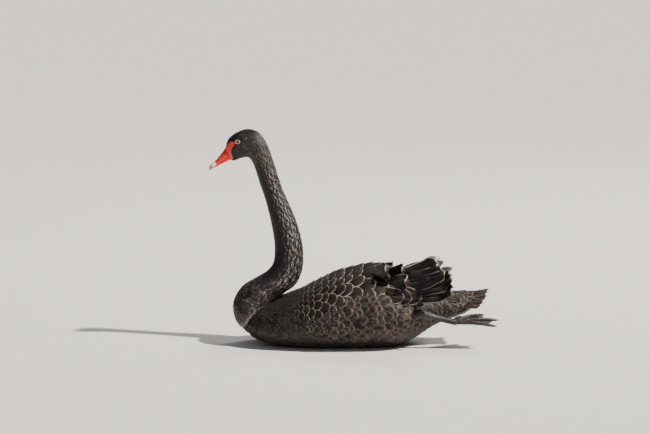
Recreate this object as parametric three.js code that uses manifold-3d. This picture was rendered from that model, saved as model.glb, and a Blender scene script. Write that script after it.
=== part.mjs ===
// A black swan at life size, resting on its belly with the left foot stretched out behind.
// Units are millimetres, +Z is up, the bill points towards -X and the bird's left side faces -Y.
// The origin is the middle of the flat patch under the belly.
import * as THREE from "three";
import { mergeVertices } from "three/addons/utils/BufferGeometryUtils.js";
import Module from "manifold-3d";

const wasm = await Module();
wasm.setup();

// Driving dimensions
const GAP = 0.3;
const EYE_RADIUS = 6.2;
const TARSUS_RADIUS = 6.6;
const MIDDLE_TOE = 112;
const BODY_SIDES = 28;
const NECK_SIDES = 18;

const LEFT = -1;
const RIGHT = 1;

const materials = {
  plumage: new THREE.MeshStandardMaterial({ color: 0x1d1a1b, roughness: 0.72 }),
  bill: new THREE.MeshStandardMaterial({ color: 0xd2261c, roughness: 0.38 }),
  nail: new THREE.MeshStandardMaterial({ color: 0xe6d9d2, roughness: 0.4 }),
  eye: new THREE.MeshStandardMaterial({ color: 0x8f1510, roughness: 0.08 }),
  leg: new THREE.MeshStandardMaterial({ color: 0x2c2829, roughness: 0.5 }),
};

const point = (x, y, z) => new THREE.Vector3(x, y, z);

// A smooth curve through [position, value] pairs, level beyond its ends.
function profile(pairs) {
  const last = pairs.length - 1;
  const slope = (k) => {
    const before = pairs[Math.max(k - 1, 0)];
    const after = pairs[Math.min(k + 1, last)];
    return (after[1] - before[1]) / (after[0] - before[0]);
  };
  return (at) => {
    if (at <= pairs[0][0]) return pairs[0][1];
    if (at >= pairs[last][0]) return pairs[last][1];
    const i = pairs.findIndex((pair) => pair[0] > at) - 1;
    const span = pairs[i + 1][0] - pairs[i][0];
    const t = (at - pairs[i][0]) / span;
    const level = (1 - t) ** 2 * (1 + 2 * t) * pairs[i][1] + t ** 2 * (3 - 2 * t) * pairs[i + 1][1];
    return level + span * t * (1 - t) * ((1 - t) * slope(i) - t * slope(i + 1));
  };
}

// Solids and cuts
function geometryOf(points, triangles) {
  const geometry = new THREE.BufferGeometry().setFromPoints(points);
  geometry.setIndex(triangles);
  return geometry;
}

function solidOf(geometry) {
  const loose = geometry.index ? geometry.toNonIndexed() : geometry;
  const bare = new THREE.BufferGeometry().setAttribute("position", loose.getAttribute("position"));
  const merged = mergeVertices(bare, 1e-3);
  const corners = Array.from(merged.index.array);
  const build = (triVerts) => {
    const vertProperties = merged.attributes.position.array;
    return new wasm.Manifold(new wasm.Mesh({ numProp: 3, vertProperties, triVerts }));
  };
  const made = build(Uint32Array.from(corners));
  return made.volume() > 0 ? made : build(Uint32Array.from(corners.reverse()));
}

const joined = (solids) => solids.reduce((all, next) => all.add(next));

function largest(solid) {
  return solid.decompose().reduce((a, b) => (a.volume() > b.volume() ? a : b));
}

// Everything on one side of a plane: the side that its normal points to, beyond an offset.
function halfSpace(at, normal, offset = 0) {
  const size = 2000;
  const box = new THREE.BoxGeometry(size, size, size);
  const turn = new THREE.Quaternion().setFromUnitVectors(point(0, 0, 1), normal.clone().normalize());
  box.translate(0, 0, size / 2 + offset);
  box.applyQuaternion(turn);
  box.translate(at.x, at.y, at.z);
  return solidOf(box);
}

const aboveFloor = halfSpace(point(0, 0, 0), point(0, 0, 1));

function cutBetween(solid, at, normal) {
  const away = normal.clone().negate();
  return [
    solid.intersect(halfSpace(at, away, GAP / 2)),
    solid.intersect(halfSpace(at, normal, GAP / 2)),
  ];
}

// A closed body through equal rings of points, with a fan across each end.
function loft(rings) {
  const sides = rings[0].length;
  const points = rings.flat();
  const triangles = [];
  const at = (i, j) => i * sides + (j % sides);
  for (let i = 0; i + 1 < rings.length; i += 1) {
    for (let j = 0; j < sides; j += 1) {
      triangles.push(at(i, j), at(i, j + 1), at(i + 1, j + 1));
      triangles.push(at(i, j), at(i + 1, j + 1), at(i + 1, j));
    }
  }
  for (const i of [0, rings.length - 1]) {
    const middle = rings[i].reduce((sum, p) => sum.add(p), point(0, 0, 0)).divideScalar(sides);
    points.push(middle);
    for (let j = 0; j < sides; j += 1) {
      const edge = i ? [at(i, j), at(i, j + 1)] : [at(i, j + 1), at(i, j)];
      triangles.push(points.length - 1, ...edge);
    }
  }
  return solidOf(geometryOf(points, triangles));
}

// A thin curved plate: a grid of points thickened along its own normals, split alike on both faces.
function plate(grid, thickness) {
  const rows = grid.length - 1;
  const columns = grid[0].length - 1;
  const normalAt = (i, j) => {
    const along = grid[Math.min(i + 1, rows)][j].clone().sub(grid[Math.max(i - 1, 0)][j]);
    const across = grid[i][Math.min(j + 1, columns)].clone().sub(grid[i][Math.max(j - 1, 0)]);
    return along.cross(across).normalize();
  };
  const face = (way) => grid.flatMap((row, i) => row.map(
    (p, j) => p.clone().addScaledVector(normalAt(i, j), way * thickness(i / rows) / 2),
  ));
  const points = [...face(-1), ...face(1)];
  const lower = (i, j) => i * (columns + 1) + j;
  const upper = (i, j) => lower(i, j) + points.length / 2;
  const triangles = [];
  for (let i = 0; i < rows; i += 1) {
    for (let j = 0; j < columns; j += 1) {
      const [a, b, c, d] = [[i, j], [i, j + 1], [i + 1, j + 1], [i + 1, j]];
      triangles.push(upper(...a), upper(...b), upper(...c), upper(...a), upper(...c), upper(...d));
      triangles.push(lower(...a), lower(...c), lower(...b), lower(...a), lower(...d), lower(...c));
    }
  }
  const rim = [];
  for (let j = 0; j < columns; j += 1) rim.push([0, j]);
  for (let i = 0; i < rows; i += 1) rim.push([i, columns]);
  for (let j = columns; j > 0; j -= 1) rim.push([rows, j]);
  for (let i = rows; i > 0; i -= 1) rim.push([i, 0]);
  rim.forEach((p, k) => {
    const q = rim[(k + 1) % rim.length];
    triangles.push(upper(...q), upper(...p), lower(...p), upper(...q), lower(...p), lower(...q));
  });
  return solidOf(geometryOf(points, triangles));
}

function ellipsoid(centre, radii, tilt = 0, segments = 14) {
  const ball = new THREE.SphereGeometry(1, segments, Math.round(segments * 0.6));
  ball.scale(...radii);
  ball.rotateY(tilt);
  ball.translate(centre.x, centre.y, centre.z);
  return solidOf(ball);
}

// A tube along a path of [x, y, z, radius] stations.
function tube(stations, sides = 8) {
  const places = stations.map(([x, y, z]) => point(x, y, z));
  const rings = places.map((place, i) => {
    const along = places[Math.min(i + 1, places.length - 1)].clone().sub(places[Math.max(i - 1, 0)]);
    const across = point(0, 0, 1).cross(along).normalize();
    const up = along.clone().cross(across).normalize();
    return Array.from({ length: sides }, (_, j) => {
      const angle = (j + 0.5) / sides * 2 * Math.PI;
      const radius = stations[i][3];
      return place.clone()
        .addScaledVector(across, radius * Math.cos(angle))
        .addScaledVector(up, radius * Math.sin(angle));
    });
  });
  return loft(rings);
}

// Head and neck
// Each station is a slice from the throat or front edge to the crown or nape:
// front x and z, back x and z, half width.
const NECK_STATIONS = [
  [-281, 456, -292, 482, 12],
  [-276, 454, -290, 496, 17],
  [-269, 455, -282, 511, 21.5],
  [-259, 459, -262, 525, 25],
  [-248, 462, -238, 532, 27],
  [-239, 463, -213, 525, 26.5],
  [-232, 459, -196, 505, 24.5],
  [-226, 450, -184, 478, 22.5],
  [-218, 430, -172, 442, 21.5],
  [-208, 398, -163, 410, 20.5],
  [-197, 366, -151, 377, 21],
  [-188, 334, -136, 343, 23],
  [-180, 299, -120, 304, 26],
  [-173, 257, -107, 257, 30],
  [-172, 223, -103, 217, 32.5],
  [-177, 198, -107, 180, 35.5],
  [-194, 179, -122, 149, 40],
  [-223, 162, -151, 126, 46],
  [-250, 145, -177, 105, 53],
  [-269, 118, -197, 82, 58],
  [-275, 92, -205, 56, 60],
  [-268, 60, -203, 36, 55],
  [-246, 32, -190, 22, 41],
];

function neckRing(at, grow) {
  const i = Math.min(Math.floor(at), NECK_STATIONS.length - 2);
  const t = at - i;
  const pick = (k) => NECK_STATIONS[THREE.MathUtils.clamp(i + k, 0, NECK_STATIONS.length - 1)];
  const smooth = (axis) => {
    const [a, b, c, d] = [-1, 0, 1, 2].map((k) => pick(k)[axis]);
    return b + 0.5 * t * (c - a + t * (2 * a - 5 * b + 4 * c - d + t * (3 * (b - c) + d - a)));
  };
  const front = point(smooth(0), 0, smooth(1));
  const back = point(smooth(2), 0, smooth(3));
  const middle = front.clone().add(back).divideScalar(2);
  const reach = back.clone().sub(middle);
  reach.setLength(reach.length() + grow);
  return Array.from({ length: NECK_SIDES }, (_, j) => {
    const angle = j / NECK_SIDES * 2 * Math.PI;
    const ring = middle.clone().addScaledVector(reach, Math.sin(angle));
    return ring.setY((smooth(4) + grow) * Math.cos(angle));
  });
}

// The rings sit two to a station on the head, and less than one and a quarter to a station below it.
const HEAD_STATIONS = 9;
const BELOW_HEAD = NECK_STATIONS.length - 1 - HEAD_STATIONS;
const BELOW_RINGS = 16;
const headRings = Array.from({ length: 2 * HEAD_STATIONS + 1 }, (_, k) => k / 2);
const neckRings = Array.from({ length: BELOW_RINGS }, (_, k) => (
  HEAD_STATIONS + BELOW_HEAD * (k + 1) / BELOW_RINGS
));

const neckBody = (places, grow = 0) => loft(places.map((place) => neckRing(place, grow)));

// Torso
const TORSO_FRONT = -262;
const TORSO_BACK = 318;
const torsoBottom = profile([
  [-262, 52], [-250, 36], [-225, 19], [-190, 7], [-150, -1], [-100, -6], [-30, -8], [60, -7],
  [110, -3], [140, 4], [170, 18], [210, 44], [245, 61], [275, 71], [300, 82], [318, 98],
]);
const torsoTop = profile([
  [-262, 66], [-245, 84], [-215, 98], [-190, 106], [-166, 114], [-110, 136], [-66, 153], [-22, 170],
  [20, 180], [65, 183], [105, 177], [150, 163], [200, 145], [240, 134], [275, 130], [318, 131],
]);
const torsoHalfWidth = profile([
  [-262, 14], [-250, 44], [-225, 74], [-190, 97], [-150, 112], [-100, 122], [-30, 128], [40, 129],
  [95, 124], [135, 110], [160, 95], [180, 80], [210, 67], [245, 57], [275, 49], [300, 40], [318, 32],
]);
const WAIST = 0.42;

// The flank swells out over the wing's lower edge: by how much, and at how many degrees above the waist.
const flankSwell = profile([
  [-130, 0], [-90, 6], [-49, 14], [12, 22], [81, 29], [130, 27], [156, 20], [174, 4], [184, 0],
]);
const flankHeight = profile([[-130, 10], [-49, 20], [12, 33], [81, 36], [130, 28], [170, 16]]);
const FLANK_ABOVE = 17;
const FLANK_BELOW = 45;

// A point on the torso's skin: angle 0 is the right side, 90 degrees the back and 180 the left side.
function torsoPoint(x, angle, grow = 0) {
  const bottom = torsoBottom(x) - grow;
  const top = torsoTop(x) + grow;
  const waist = bottom + WAIST * (top - bottom);
  const rise = Math.sin(angle);
  const z = waist + (rise > 0 ? top - waist : waist - bottom) * rise;
  const over = THREE.MathUtils.radToDeg(Math.asin(rise)) - flankHeight(x);
  const swell = flankSwell(x) * Math.exp(-((over / (over > 0 ? FLANK_ABOVE : FLANK_BELOW)) ** 2));
  const y = (torsoHalfWidth(x) + grow) * Math.cos(angle) + swell * Math.sign(Math.cos(angle));
  return point(x, y, z);
}

function torsoBody(grow = 0) {
  const rings = [];
  const steps = 22;
  for (let k = 0; k <= steps; k += 1) {
    const ease = (1 - Math.cos(Math.PI * k / steps)) / 2;
    const blend = 0.4 * ease + 0.6 * k / steps;
    const x = TORSO_FRONT - grow + (TORSO_BACK - TORSO_FRONT + 2 * grow) * blend;
    rings.push(Array.from({ length: BODY_SIDES }, (_, j) => (
      torsoPoint(x, j / BODY_SIDES * 2 * Math.PI, grow)
    )));
  }
  return loft(rings);
}

// Cuts that part the bird: across the upper neck, the middle, the lower neck, along its fold and across
// the rump.
const HEAD_CUT = [point(-199, 0, 455), point(-0.3, 0, 1)];
const UPPER_CUT = [point(-166, 0, 343), point(-0.25, 0, 1)];
const LOWER_CUT = [point(-138, 0, 232), point(0.05, 0, 1)];
const FOLD_CUT = [point(-178, 0, 104), point(-0.55, 0, 0.83)];
const TAIL_CUT = [point(212, 0, 95), point(1, 0, 0)];

const wholeNeck = neckBody([...headRings, ...neckRings]);
const wholeTorso = torsoBody();
const [torsoSide, neckSide] = cutBetween(wholeNeck.add(wholeTorso), ...FOLD_CUT);
const frontOnly = halfSpace(point(-60, 0, 0), point(-1, 0, 0));
const backOnly = halfSpace(point(-60, 0, 0), point(1, 0, 0));
const neckAndHead = largest(neckSide.intersect(frontOnly));
const trunk = largest(torsoSide.add(wholeTorso.intersect(backOnly)).intersect(aboveFloor));
const [neckAll, head] = cutBetween(neckAndHead, ...HEAD_CUT);
const [neckLowerTwo, neckUpper] = cutBetween(neckAll, ...UPPER_CUT);
const [neckLower, neckMiddle] = cutBetween(neckLowerTwo, ...LOWER_CUT);
const [torso, rump] = cutBetween(trunk, ...TAIL_CUT);
const swollenTorso = torsoBody(GAP);

// Bill
const BILL_STATIONS = [
  [-271, 462, -287, 500, 17],
  [-283, 456, -294, 484, 16],
  [-297, 449, -303, 471, 15],
  [-309, 443, -314.5, 457, 14.5],
  [-318, 438, -323.5, 449, 14],
  [-326, 434, -330.4, 440.5, 11],
  [-331, 430.5, -333, 433.5, 5.5],
];
// The line of the mouth, as a share of the bill's depth above its lower edge.
const MOUTH = 0.27;

function billBody() {
  const sides = 12;
  const rings = BILL_STATIONS.map(([fx, fz, bx, bz, half]) => {
    const front = point(fx, 0, fz);
    const up = point(bx, 0, bz).sub(front);
    return Array.from({ length: sides }, (_, j) => {
      const angle = j / sides * 2 * Math.PI;
      const level = MOUTH + (Math.sin(angle) > 0 ? 1 - MOUTH : MOUTH) * Math.sin(angle);
      const width = half * Math.sign(Math.cos(angle)) * Math.abs(Math.cos(angle)) ** 0.8;
      return front.clone().addScaledVector(up, level).setY(width);
    });
  });
  return loft(rings);
}

function mouthLine() {
  const stations = BILL_STATIONS.map(([fx, fz, bx, bz]) => [fx + (bx - fx) * MOUTH, fz + (bz - fz) * MOUTH]);
  return [stations[0], stations[stations.length - 1]];
}

const [gape, tipMouth] = mouthLine();
const mouthDirection = point(tipMouth[0] - gape[0], 0, tipMouth[1] - gape[1]).normalize();
const mouthNormal = point(mouthDirection.z, 0, -mouthDirection.x);
if (mouthNormal.z < 0) mouthNormal.negate();
const LORE_THICKNESS = 0.8;
const swollenHead = neckBody(headRings, GAP);
const loreSkin = neckBody(headRings, GAP + LORE_THICKNESS);
// The bare skin between the bill and the eye is a thin patch on the face.
const lores = [LEFT, RIGHT].map((side) => (
  ellipsoid(point(-281, side * 15, 485), [7.5, 13, 17], 0.785, 12).intersect(loreSkin)
));
const faceBill = joined([billBody(), ...lores]).subtract(swollenHead);
const [lowerBill, upperBill] = cutBetween(faceBill, point(gape[0], 0, gape[1]), mouthNormal);
const NAIL_AT = point(-320, 0, 442);
const [upperBack, nail] = cutBetween(upperBill, NAIL_AT, mouthDirection);
const nostrils = [LEFT, RIGHT].map((side) => ellipsoid(point(-301, side * 13, 463), [5, 4, 2.2], -0.85, 10));
const billUpper = largest(upperBack.subtract(joined(nostrils)));

// Eyes, each a ball in its socket with a raised rim of lid
const EYE_AT = [-262, 20.2, 503];

function lidRing(side) {
  const ring = new THREE.TorusGeometry(EYE_RADIUS - 0.2, 1.5, 5, 12);
  ring.rotateX(Math.PI / 2);
  ring.rotateZ(side * -0.22);
  ring.translate(EYE_AT[0], side * (EYE_AT[1] + 2.4), EYE_AT[2]);
  return solidOf(ring);
}

const eyeAt = (side) => point(EYE_AT[0], side * EYE_AT[1], EYE_AT[2]);
const eyeBall = (side, grow) => ellipsoid(eyeAt(side), Array(3).fill(EYE_RADIUS + grow), 0, 12);
const headWithEyes = [LEFT, RIGHT].reduce(
  (solid, side) => solid.add(lidRing(side)).subtract(eyeBall(side, GAP)),
  head,
);

// Wings
const wingHalfWidth = profile([
  [-150, 111], [-100, 125], [-30, 137], [40, 141], [95, 137], [140, 124], [190, 104], [240, 84],
]);
const wingTop = profile([
  [-150, 112], [-110, 134], [-66, 155], [-22, 177], [20, 188], [65, 196], [105, 198], [150, 189],
  [200, 171], [240, 155],
]);
const wingWaist = profile([[-150, 52], [-60, 72], [40, 78], [140, 88], [240, 104]]);
// How far the wing's front lies sunk in the shoulder, and where its lower edge tucks under the flank.
const wingSunk = profile([[-150, 13], [-120, 7], [-92, 0]]);
const wingLow = profile([[-138, 4], [-80, 5], [-49, 8], [12, 17], [81, 16], [130, 7], [172, 4]]);

// A point on a wing's outer surface: angle 0 is the flank and 90 degrees the midline of the back.
function wingPoint(side, x, degrees, lift = 0) {
  const angle = THREE.MathUtils.degToRad(degrees);
  const flat = (v) => Math.sign(v) * Math.abs(v) ** 0.85;
  const proud = lift - wingSunk(x);
  const y = (wingHalfWidth(x) + proud) * flat(Math.cos(angle));
  const z = wingWaist(x) + (wingTop(x) - wingWaist(x) + proud) * flat(Math.sin(angle));
  return point(x, side * y, z);
}

const WING_FROM = -146;
const WING_TO = 172;
const WING_CLOSES = 60;
const WING_CLOSED = 42;
const WING_HIGH = 89;

function wingCore(side) {
  const rings = [];
  const steps = 11;
  const around = 8;
  for (let k = 0; k <= steps; k += 1) {
    const x = WING_FROM + (WING_TO - WING_FROM) * k / steps;
    const closing = Math.max(0, (x - WING_CLOSES) / (WING_TO - WING_CLOSES));
    const outer = Array.from({ length: around }, (_, j) => {
      const degrees = wingLow(x) + (WING_HIGH - wingLow(x)) * j / (around - 1);
      return wingPoint(side, x, degrees, -WING_CLOSED * closing ** 2);
    });
    const deep = torsoPoint(x, Math.PI / 2, -30);
    const inner = [
      point(x, side * 3, deep.z),
      point(x, side * torsoHalfWidth(x) * 0.7, torsoPoint(x, 0).z + 8),
    ];
    rings.push([...outer, ...inner]);
  }
  return loft(rings);
}

// Feathers
const VANE_THICKNESS = 1.4;
const SIDES = [-1, 0, 1];

// Repeatable noise from 0 to 1.
function noise(seed) {
  const raw = Math.sin(seed * 127.1 + 11.7) * 43758.5453;
  return raw - Math.floor(raw);
}

// Half width of a vane at a share of its length, as a share of its greatest.
const blunt = (t, tip = 4) => Math.min(1, 0.45 + 1.7 * t) * Math.sqrt(1 - 0.86 * t ** tip);

// A covert that lies along the wing: its root is sunk and its tip stands a little proud.
function covert(side, { x, degrees, length, width, slope }) {
  const rows = 3;
  const degreesPerMillimetre = 0.44;
  const grid = [];
  for (let i = 0; i <= rows; i += 1) {
    const t = i / rows;
    const half = width / 2 * blunt(t);
    const lift = -2.4 + 7.4 * t ** 1.6;
    grid.push(SIDES.map((s) => {
      const back = s === 0 ? t * length : t * length * 0.9;
      const turned = degrees + slope * t + s * half * degreesPerMillimetre;
      return wingPoint(side, x + back, turned, lift + s * 0.9 - Math.abs(s) * 1.2);
    }));
  }
  return plate(grid, () => VANE_THICKNESS);
}

const COVERT_TIERS = [
  { x: -136, low: 18, high: 72, count: 4, length: 60, width: 38 },
  { x: -102, low: 17, high: 76, count: 4, length: 64, width: 40 },
  { x: -66, low: 21, high: 78, count: 4, length: 66, width: 42 },
  { x: -28, low: 28, high: 79, count: 4, length: 68, width: 43 },
  { x: 12, low: 35, high: 80, count: 3, length: 70, width: 46 },
  { x: 50, low: 42, high: 80, count: 3, length: 66, width: 46 },
];

function coverts(side) {
  return COVERT_TIERS.flatMap((tier, row) => Array.from({ length: tier.count }, (_, j) => {
    const seed = row * 10 + j + (side === LEFT ? 0 : 100);
    const share = tier.count > 1 ? j / (tier.count - 1) : 0.5;
    return covert(side, {
      x: tier.x + 8 * (noise(seed) - 0.5) + 6 * Math.sin(Math.PI * share),
      degrees: tier.low + (tier.high - tier.low) * share,
      length: tier.length * (0.94 + 0.12 * noise(seed + 0.5)),
      width: tier.width,
      slope: 4 * (noise(seed + 0.3) - 0.6),
    });
  }));
}

// A vane in the open, from its root along a heading. Its shaft curls towards its face, its edges bend
// towards the face by its cup, and they ripple. Places and directions are given as back, out from the
// midline and up, so that they serve both sides.
function openVane(side, feather) {
  const { root, heading, face, length, width, curl, cup, wave = 0, phase = 0, rows = 5, tip = 4 } = feather;
  const turned = ([back, out, up]) => point(back, side * out, up);
  const along = turned(heading).normalize();
  const across = turned(face).cross(along).normalize();
  const place = turned(root);
  const curled = (t) => THREE.MathUtils.degToRad(curl) * t ** 2.2;
  const grid = [];
  for (let i = 0; i <= rows; i += 1) {
    const t = i / rows;
    const up = along.clone().cross(across);
    const half = width / 2 * blunt(t, tip);
    const ripple = wave * t * Math.sin(phase + 2.4 * Math.PI * t);
    grid.push(SIDES.map((s) => place.clone()
      .addScaledVector(across, s * half)
      .addScaledVector(along, s === 0 ? 0 : -0.1 * width * t)
      .addScaledVector(up, s * ripple + Math.abs(s) * half * cup)));
    along.applyAxisAngle(across, -(curled(t + 1 / rows) - curled(t)));
    place.addScaledVector(along, length / rows);
  }
  return plate(grid, () => VANE_THICKNESS);
}

// Curled tertials: a fan that stands behind the wing, its tips rolled outwards.
const TERTIALS = {
  face: [-0.1, 1, 0.45],
  cup: 0.1,
  wave: 5,
  rows: 5,
  rightLower: 10,
  feathers: [
    { root: [112, 58, 156], rise: 22, length: 146, curl: 62, out: 0.1, width: 42 },
    { root: [112, 66, 152], rise: 13, length: 166, curl: 84, out: 0.16, width: 44 },
    { root: [114, 72, 146], rise: 5, length: 178, curl: 88, out: 0.14, width: 44 },
    { root: [116, 76, 141], rise: -3, length: 166, curl: 70, out: 0.08, width: 42 },
    { root: [112, 40, 156], rise: 16, length: 124, curl: 74, out: -0.04, width: 42 },
    { root: [114, 46, 150], rise: 6, length: 144, curl: 66, out: -0.06, width: 42 },
  ],
};

// Ruffled feathers of the upper wing: they rise and roll over outwards like hoods.
const RUFFLES = {
  face: [-0.1, 0.9, 0.45],
  cup: 0.45,
  wave: 4,
  rows: 5,
  rightLower: 24,
  feathers: [
    { root: [58, 80, 160], rise: 28, length: 100, curl: 120, out: 0.12, width: 48 },
    { root: [92, 66, 162], rise: 21, length: 94, curl: 120, out: 0.1, width: 46 },
    { root: [84, 92, 152], rise: 11, length: 102, curl: 96, out: 0.16, width: 50 },
  ],
};

// Secondaries that droop over the flank behind the coverts.
const SECONDARIES = {
  face: [0.1, 1, 0.35],
  cup: -0.14,
  wave: 2,
  rows: 4,
  rightLower: 0,
  feathers: [
    { root: [48, 116, 144], rise: -4, length: 98, curl: 26, out: 0.1, width: 44 },
    { root: [72, 110, 148], rise: -13, length: 94, curl: 34, out: 0.04, width: 46 },
    { root: [92, 98, 150], rise: -14, length: 98, curl: 30, out: -0.06, width: 46 },
    { root: [98, 88, 155], rise: -5, length: 102, curl: 24, out: -0.1, width: 44 },
  ],
};

// Primaries folded over the rump.
const PRIMARIES = {
  face: [0, 0.45, 1],
  cup: -0.14,
  wave: 0,
  rows: 3,
  rightLower: 0,
  feathers: [
    { root: [104, 66, 146], rise: -1, length: 142, curl: 4, out: -0.2, width: 24 },
    { root: [104, 58, 150], rise: -1, length: 134, curl: 4, out: -0.2, width: 24 },
    { root: [104, 50, 153], rise: -1, length: 124, curl: 4, out: -0.18, width: 24 },
  ],
};

// The feathers of one group: rise is their angle in degrees, less by rightLower on the right wing.
function fan(side, { face, cup, wave, rows, rightLower, feathers }) {
  return feathers.map(({ root, rise, length, curl, out, width }, k) => {
    const seed = k + root[0] + (side === LEFT ? 0 : 50);
    const risen = rise - (side === RIGHT ? rightLower : 0);
    const angle = THREE.MathUtils.degToRad(risen + 3 * (noise(seed) - 0.5));
    return openVane(side, {
      root,
      heading: [Math.cos(angle), out, Math.sin(angle)],
      face,
      length: length * (0.97 + 0.06 * noise(seed + 0.4)),
      width,
      curl,
      cup,
      wave,
      phase: 2 * Math.PI * noise(seed + 0.7),
      rows,
    });
  });
}

function featheredWing(side) {
  const fans = [TERTIALS, RUFFLES, SECONDARIES, PRIMARIES].flatMap((group) => fan(side, group));
  return joined([wingCore(side), ...coverts(side), ...fans]);
}

const clearOfTrunk = (solid) => largest(solid.subtract(swollenTorso).intersect(aboveFloor));
const rightHalf = halfSpace(point(0, GAP / 2, 0), point(0, 1, 0));
const leftHalf = halfSpace(point(0, -GAP / 2, 0), point(0, -1, 0));
const wings = {
  [LEFT]: clearOfTrunk(featheredWing(LEFT).intersect(leftHalf)),
  [RIGHT]: clearOfTrunk(featheredWing(RIGHT).intersect(rightHalf)),
};

// Tail
// Each tier of feathers spreads from the middle outwards on both sides: the outer ones are shorter and
// hang lower, and the right half lies a little above the left one.
const TAIL_TIERS = [
  // Tail feathers
  {
    x: 268, z: 124, count: 10, spacing: 6.4, length: 86, shorter: 1.5, width: 27,
    spread: 3.2, drop: 0.75, tilt: 0.13, level: 1.6,
  },
  // Upper tail coverts
  {
    x: 250, z: 130, count: 5, spacing: 13, length: 62, shorter: 4, width: 30,
    spread: 5, drop: 1.4, tilt: 0.06, level: 0,
  },
  // Under tail coverts
  {
    x: 258, z: 88, count: 5, spacing: 13, length: 76, shorter: 3, width: 34,
    spread: 4, drop: -1.6, tilt: 0.3, level: 0,
  },
];

function tailTier({ x, z, count, spacing, length, shorter, width, spread, drop, tilt, level }) {
  return Array.from({ length: count }, (_, k) => {
    const place = k - (count - 1) / 2;
    const side = place < 0 ? LEFT : RIGHT;
    const out = Math.abs(place);
    const angle = THREE.MathUtils.degToRad(out * spread);
    return openVane(side, {
      root: [x, out * spacing, z - drop * out * out + (side === LEFT ? 0 : level)],
      heading: [Math.cos(angle), Math.sin(angle), tilt - 0.012 * out * out],
      face: [0, 0.09 * out, 1],
      length: length - shorter * out * out,
      width,
      curl: 2,
      cup: -0.14,
      rows: 3,
      tip: 5,
    });
  });
}

const tail = largest(joined([rump, ...TAIL_TIERS.flatMap(tailTier)]));

// Legs and feet
// A foot that points along +X of its own frame, with its upper side up: three webbed toes and a short
// hind toe. The frame places it on the bird, and the radii of a toe are given along its length.
const TOE_RADII = [[0, 6.4], [0.3, 5.6], [0.6, 4.6], [0.86, 3.6], [1, 0.9]];
const HIND_TOE = [[-6, 3, 1, 3.4], [3, 7, 7, 3], [14, 9, 10, 2.2], [21, 10, 9, 0.9]];
const WEB_ROWS = [0.08, 0.35, 0.62, 0.86];
const WEB_THICKNESS = 1.8;

function foot({ at, roll, turn, spread, arch, webSag }) {
  const turned = new THREE.Euler(roll, 0, turn, "ZYX");
  const frame = new THREE.Matrix4().makeRotationFromEuler(turned).setPosition(...at);
  const toes = [
    { length: MIDDLE_TOE * 0.93, turn: spread },
    { length: MIDDLE_TOE, turn: 0 },
    { length: MIDDLE_TOE * 0.8, turn: -spread * 1.1 },
  ];
  const inFoot = (toe, t) => {
    const angle = THREE.MathUtils.degToRad(toe.turn * (1 - 0.25 * t));
    const height = arch * Math.sin(Math.PI * t);
    return point(t * toe.length * Math.cos(angle), -t * toe.length * Math.sin(angle), height);
  };
  const onBird = (place, radius) => [...place.applyMatrix4(frame).toArray(), radius];
  const stations = (toe) => TOE_RADII.map(([t, radius]) => onBird(inFoot(toe, t), radius));
  const toeSolids = toes.map((toe) => tube(stations(toe), 6));
  const between = (a, b, t) => {
    const middle = inFoot(a, t * 0.87).add(inFoot(b, t * 0.87)).divideScalar(2);
    return middle.add(point(0, 0, webSag * t));
  };
  const web = plate(WEB_ROWS.map((t) => [
    inFoot(toes[0], t),
    between(toes[0], toes[1], t),
    inFoot(toes[1], t),
    between(toes[1], toes[2], t),
    inFoot(toes[2], t),
  ].map((place) => place.applyMatrix4(frame))), () => WEB_THICKNESS);
  const hindToe = tube(HIND_TOE.map(([x, y, z, radius]) => onBird(point(x, y, z), radius)), 6);
  return joined([...toeSolids, web, hindToe, ellipsoid(point(...at), [8.5, 8, 7], 0, 10)]);
}

// The left foot trails behind, and the right one lies folded forwards beside the belly.
const leftFootSolid = foot({
  at: [268, -84, 68], roll: 0.3, turn: 0.23, spread: 25, arch: 5, webSag: -3,
});
const rightFootSolid = foot({
  at: [90, 108, 6.2], roll: 0, turn: Math.PI, spread: 9, arch: -1.5, webSag: 2,
});

// Stations of each thigh and shank: x, y, z, radius.
const LEFT_THIGH = [[130, -86, 76, 17], [160, -89, 83, 14], [184, -92, 90, 10.5]];
const LEFT_SHANK = [
  [184, -92, 90, 9.5],
  [200, -91, 86, 7.6],
  [232, -88, 76.5, TARSUS_RADIUS],
  [258, -85, 70, 7],
  [272, -84, 67, 7.4],
];
const RIGHT_THIGH = [[132, 86, 66, 17], [155, 95, 42, 14], [173, 103, 20, 11]];
const RIGHT_SHANK = [
  [173, 103, 18, 9.5],
  [157, 105, 13, 8],
  [125, 107, 8.5, TARSUS_RADIUS],
  [100, 108, 7, 7],
  [86, 108, 6.4, 7.2],
];
const ANKLE_RADII = [12, 10.5, 11];

function leg(thigh, shank) {
  const ankle = point(...shank[0].slice(0, 3));
  return joined([tube(thigh), ellipsoid(ankle, ANKLE_RADII, 0, 10), tube(shank)]);
}

const leftLegSolid = leg(LEFT_THIGH, LEFT_SHANK);
const rightLegSolid = leg(RIGHT_THIGH, RIGHT_SHANK);
const leftFootCut = [point(262, 0, 0), point(1, 0, 0)];
const rightFootCut = [point(96, 0, 0), point(-1, 0, 0)];
const legs = {
  leg_left: clearOfTrunk(cutBetween(leftLegSolid, ...leftFootCut)[0]),
  foot_left: largest(cutBetween(leftFootSolid, ...leftFootCut)[1]),
  leg_right: clearOfTrunk(cutBetween(rightLegSolid, ...rightFootCut)[0]),
  foot_right: clearOfTrunk(cutBetween(rightFootSolid, ...rightFootCut)[1]),
};

// The scene graph
const swan = new THREE.Group();
swan.name = "black_swan";

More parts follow.
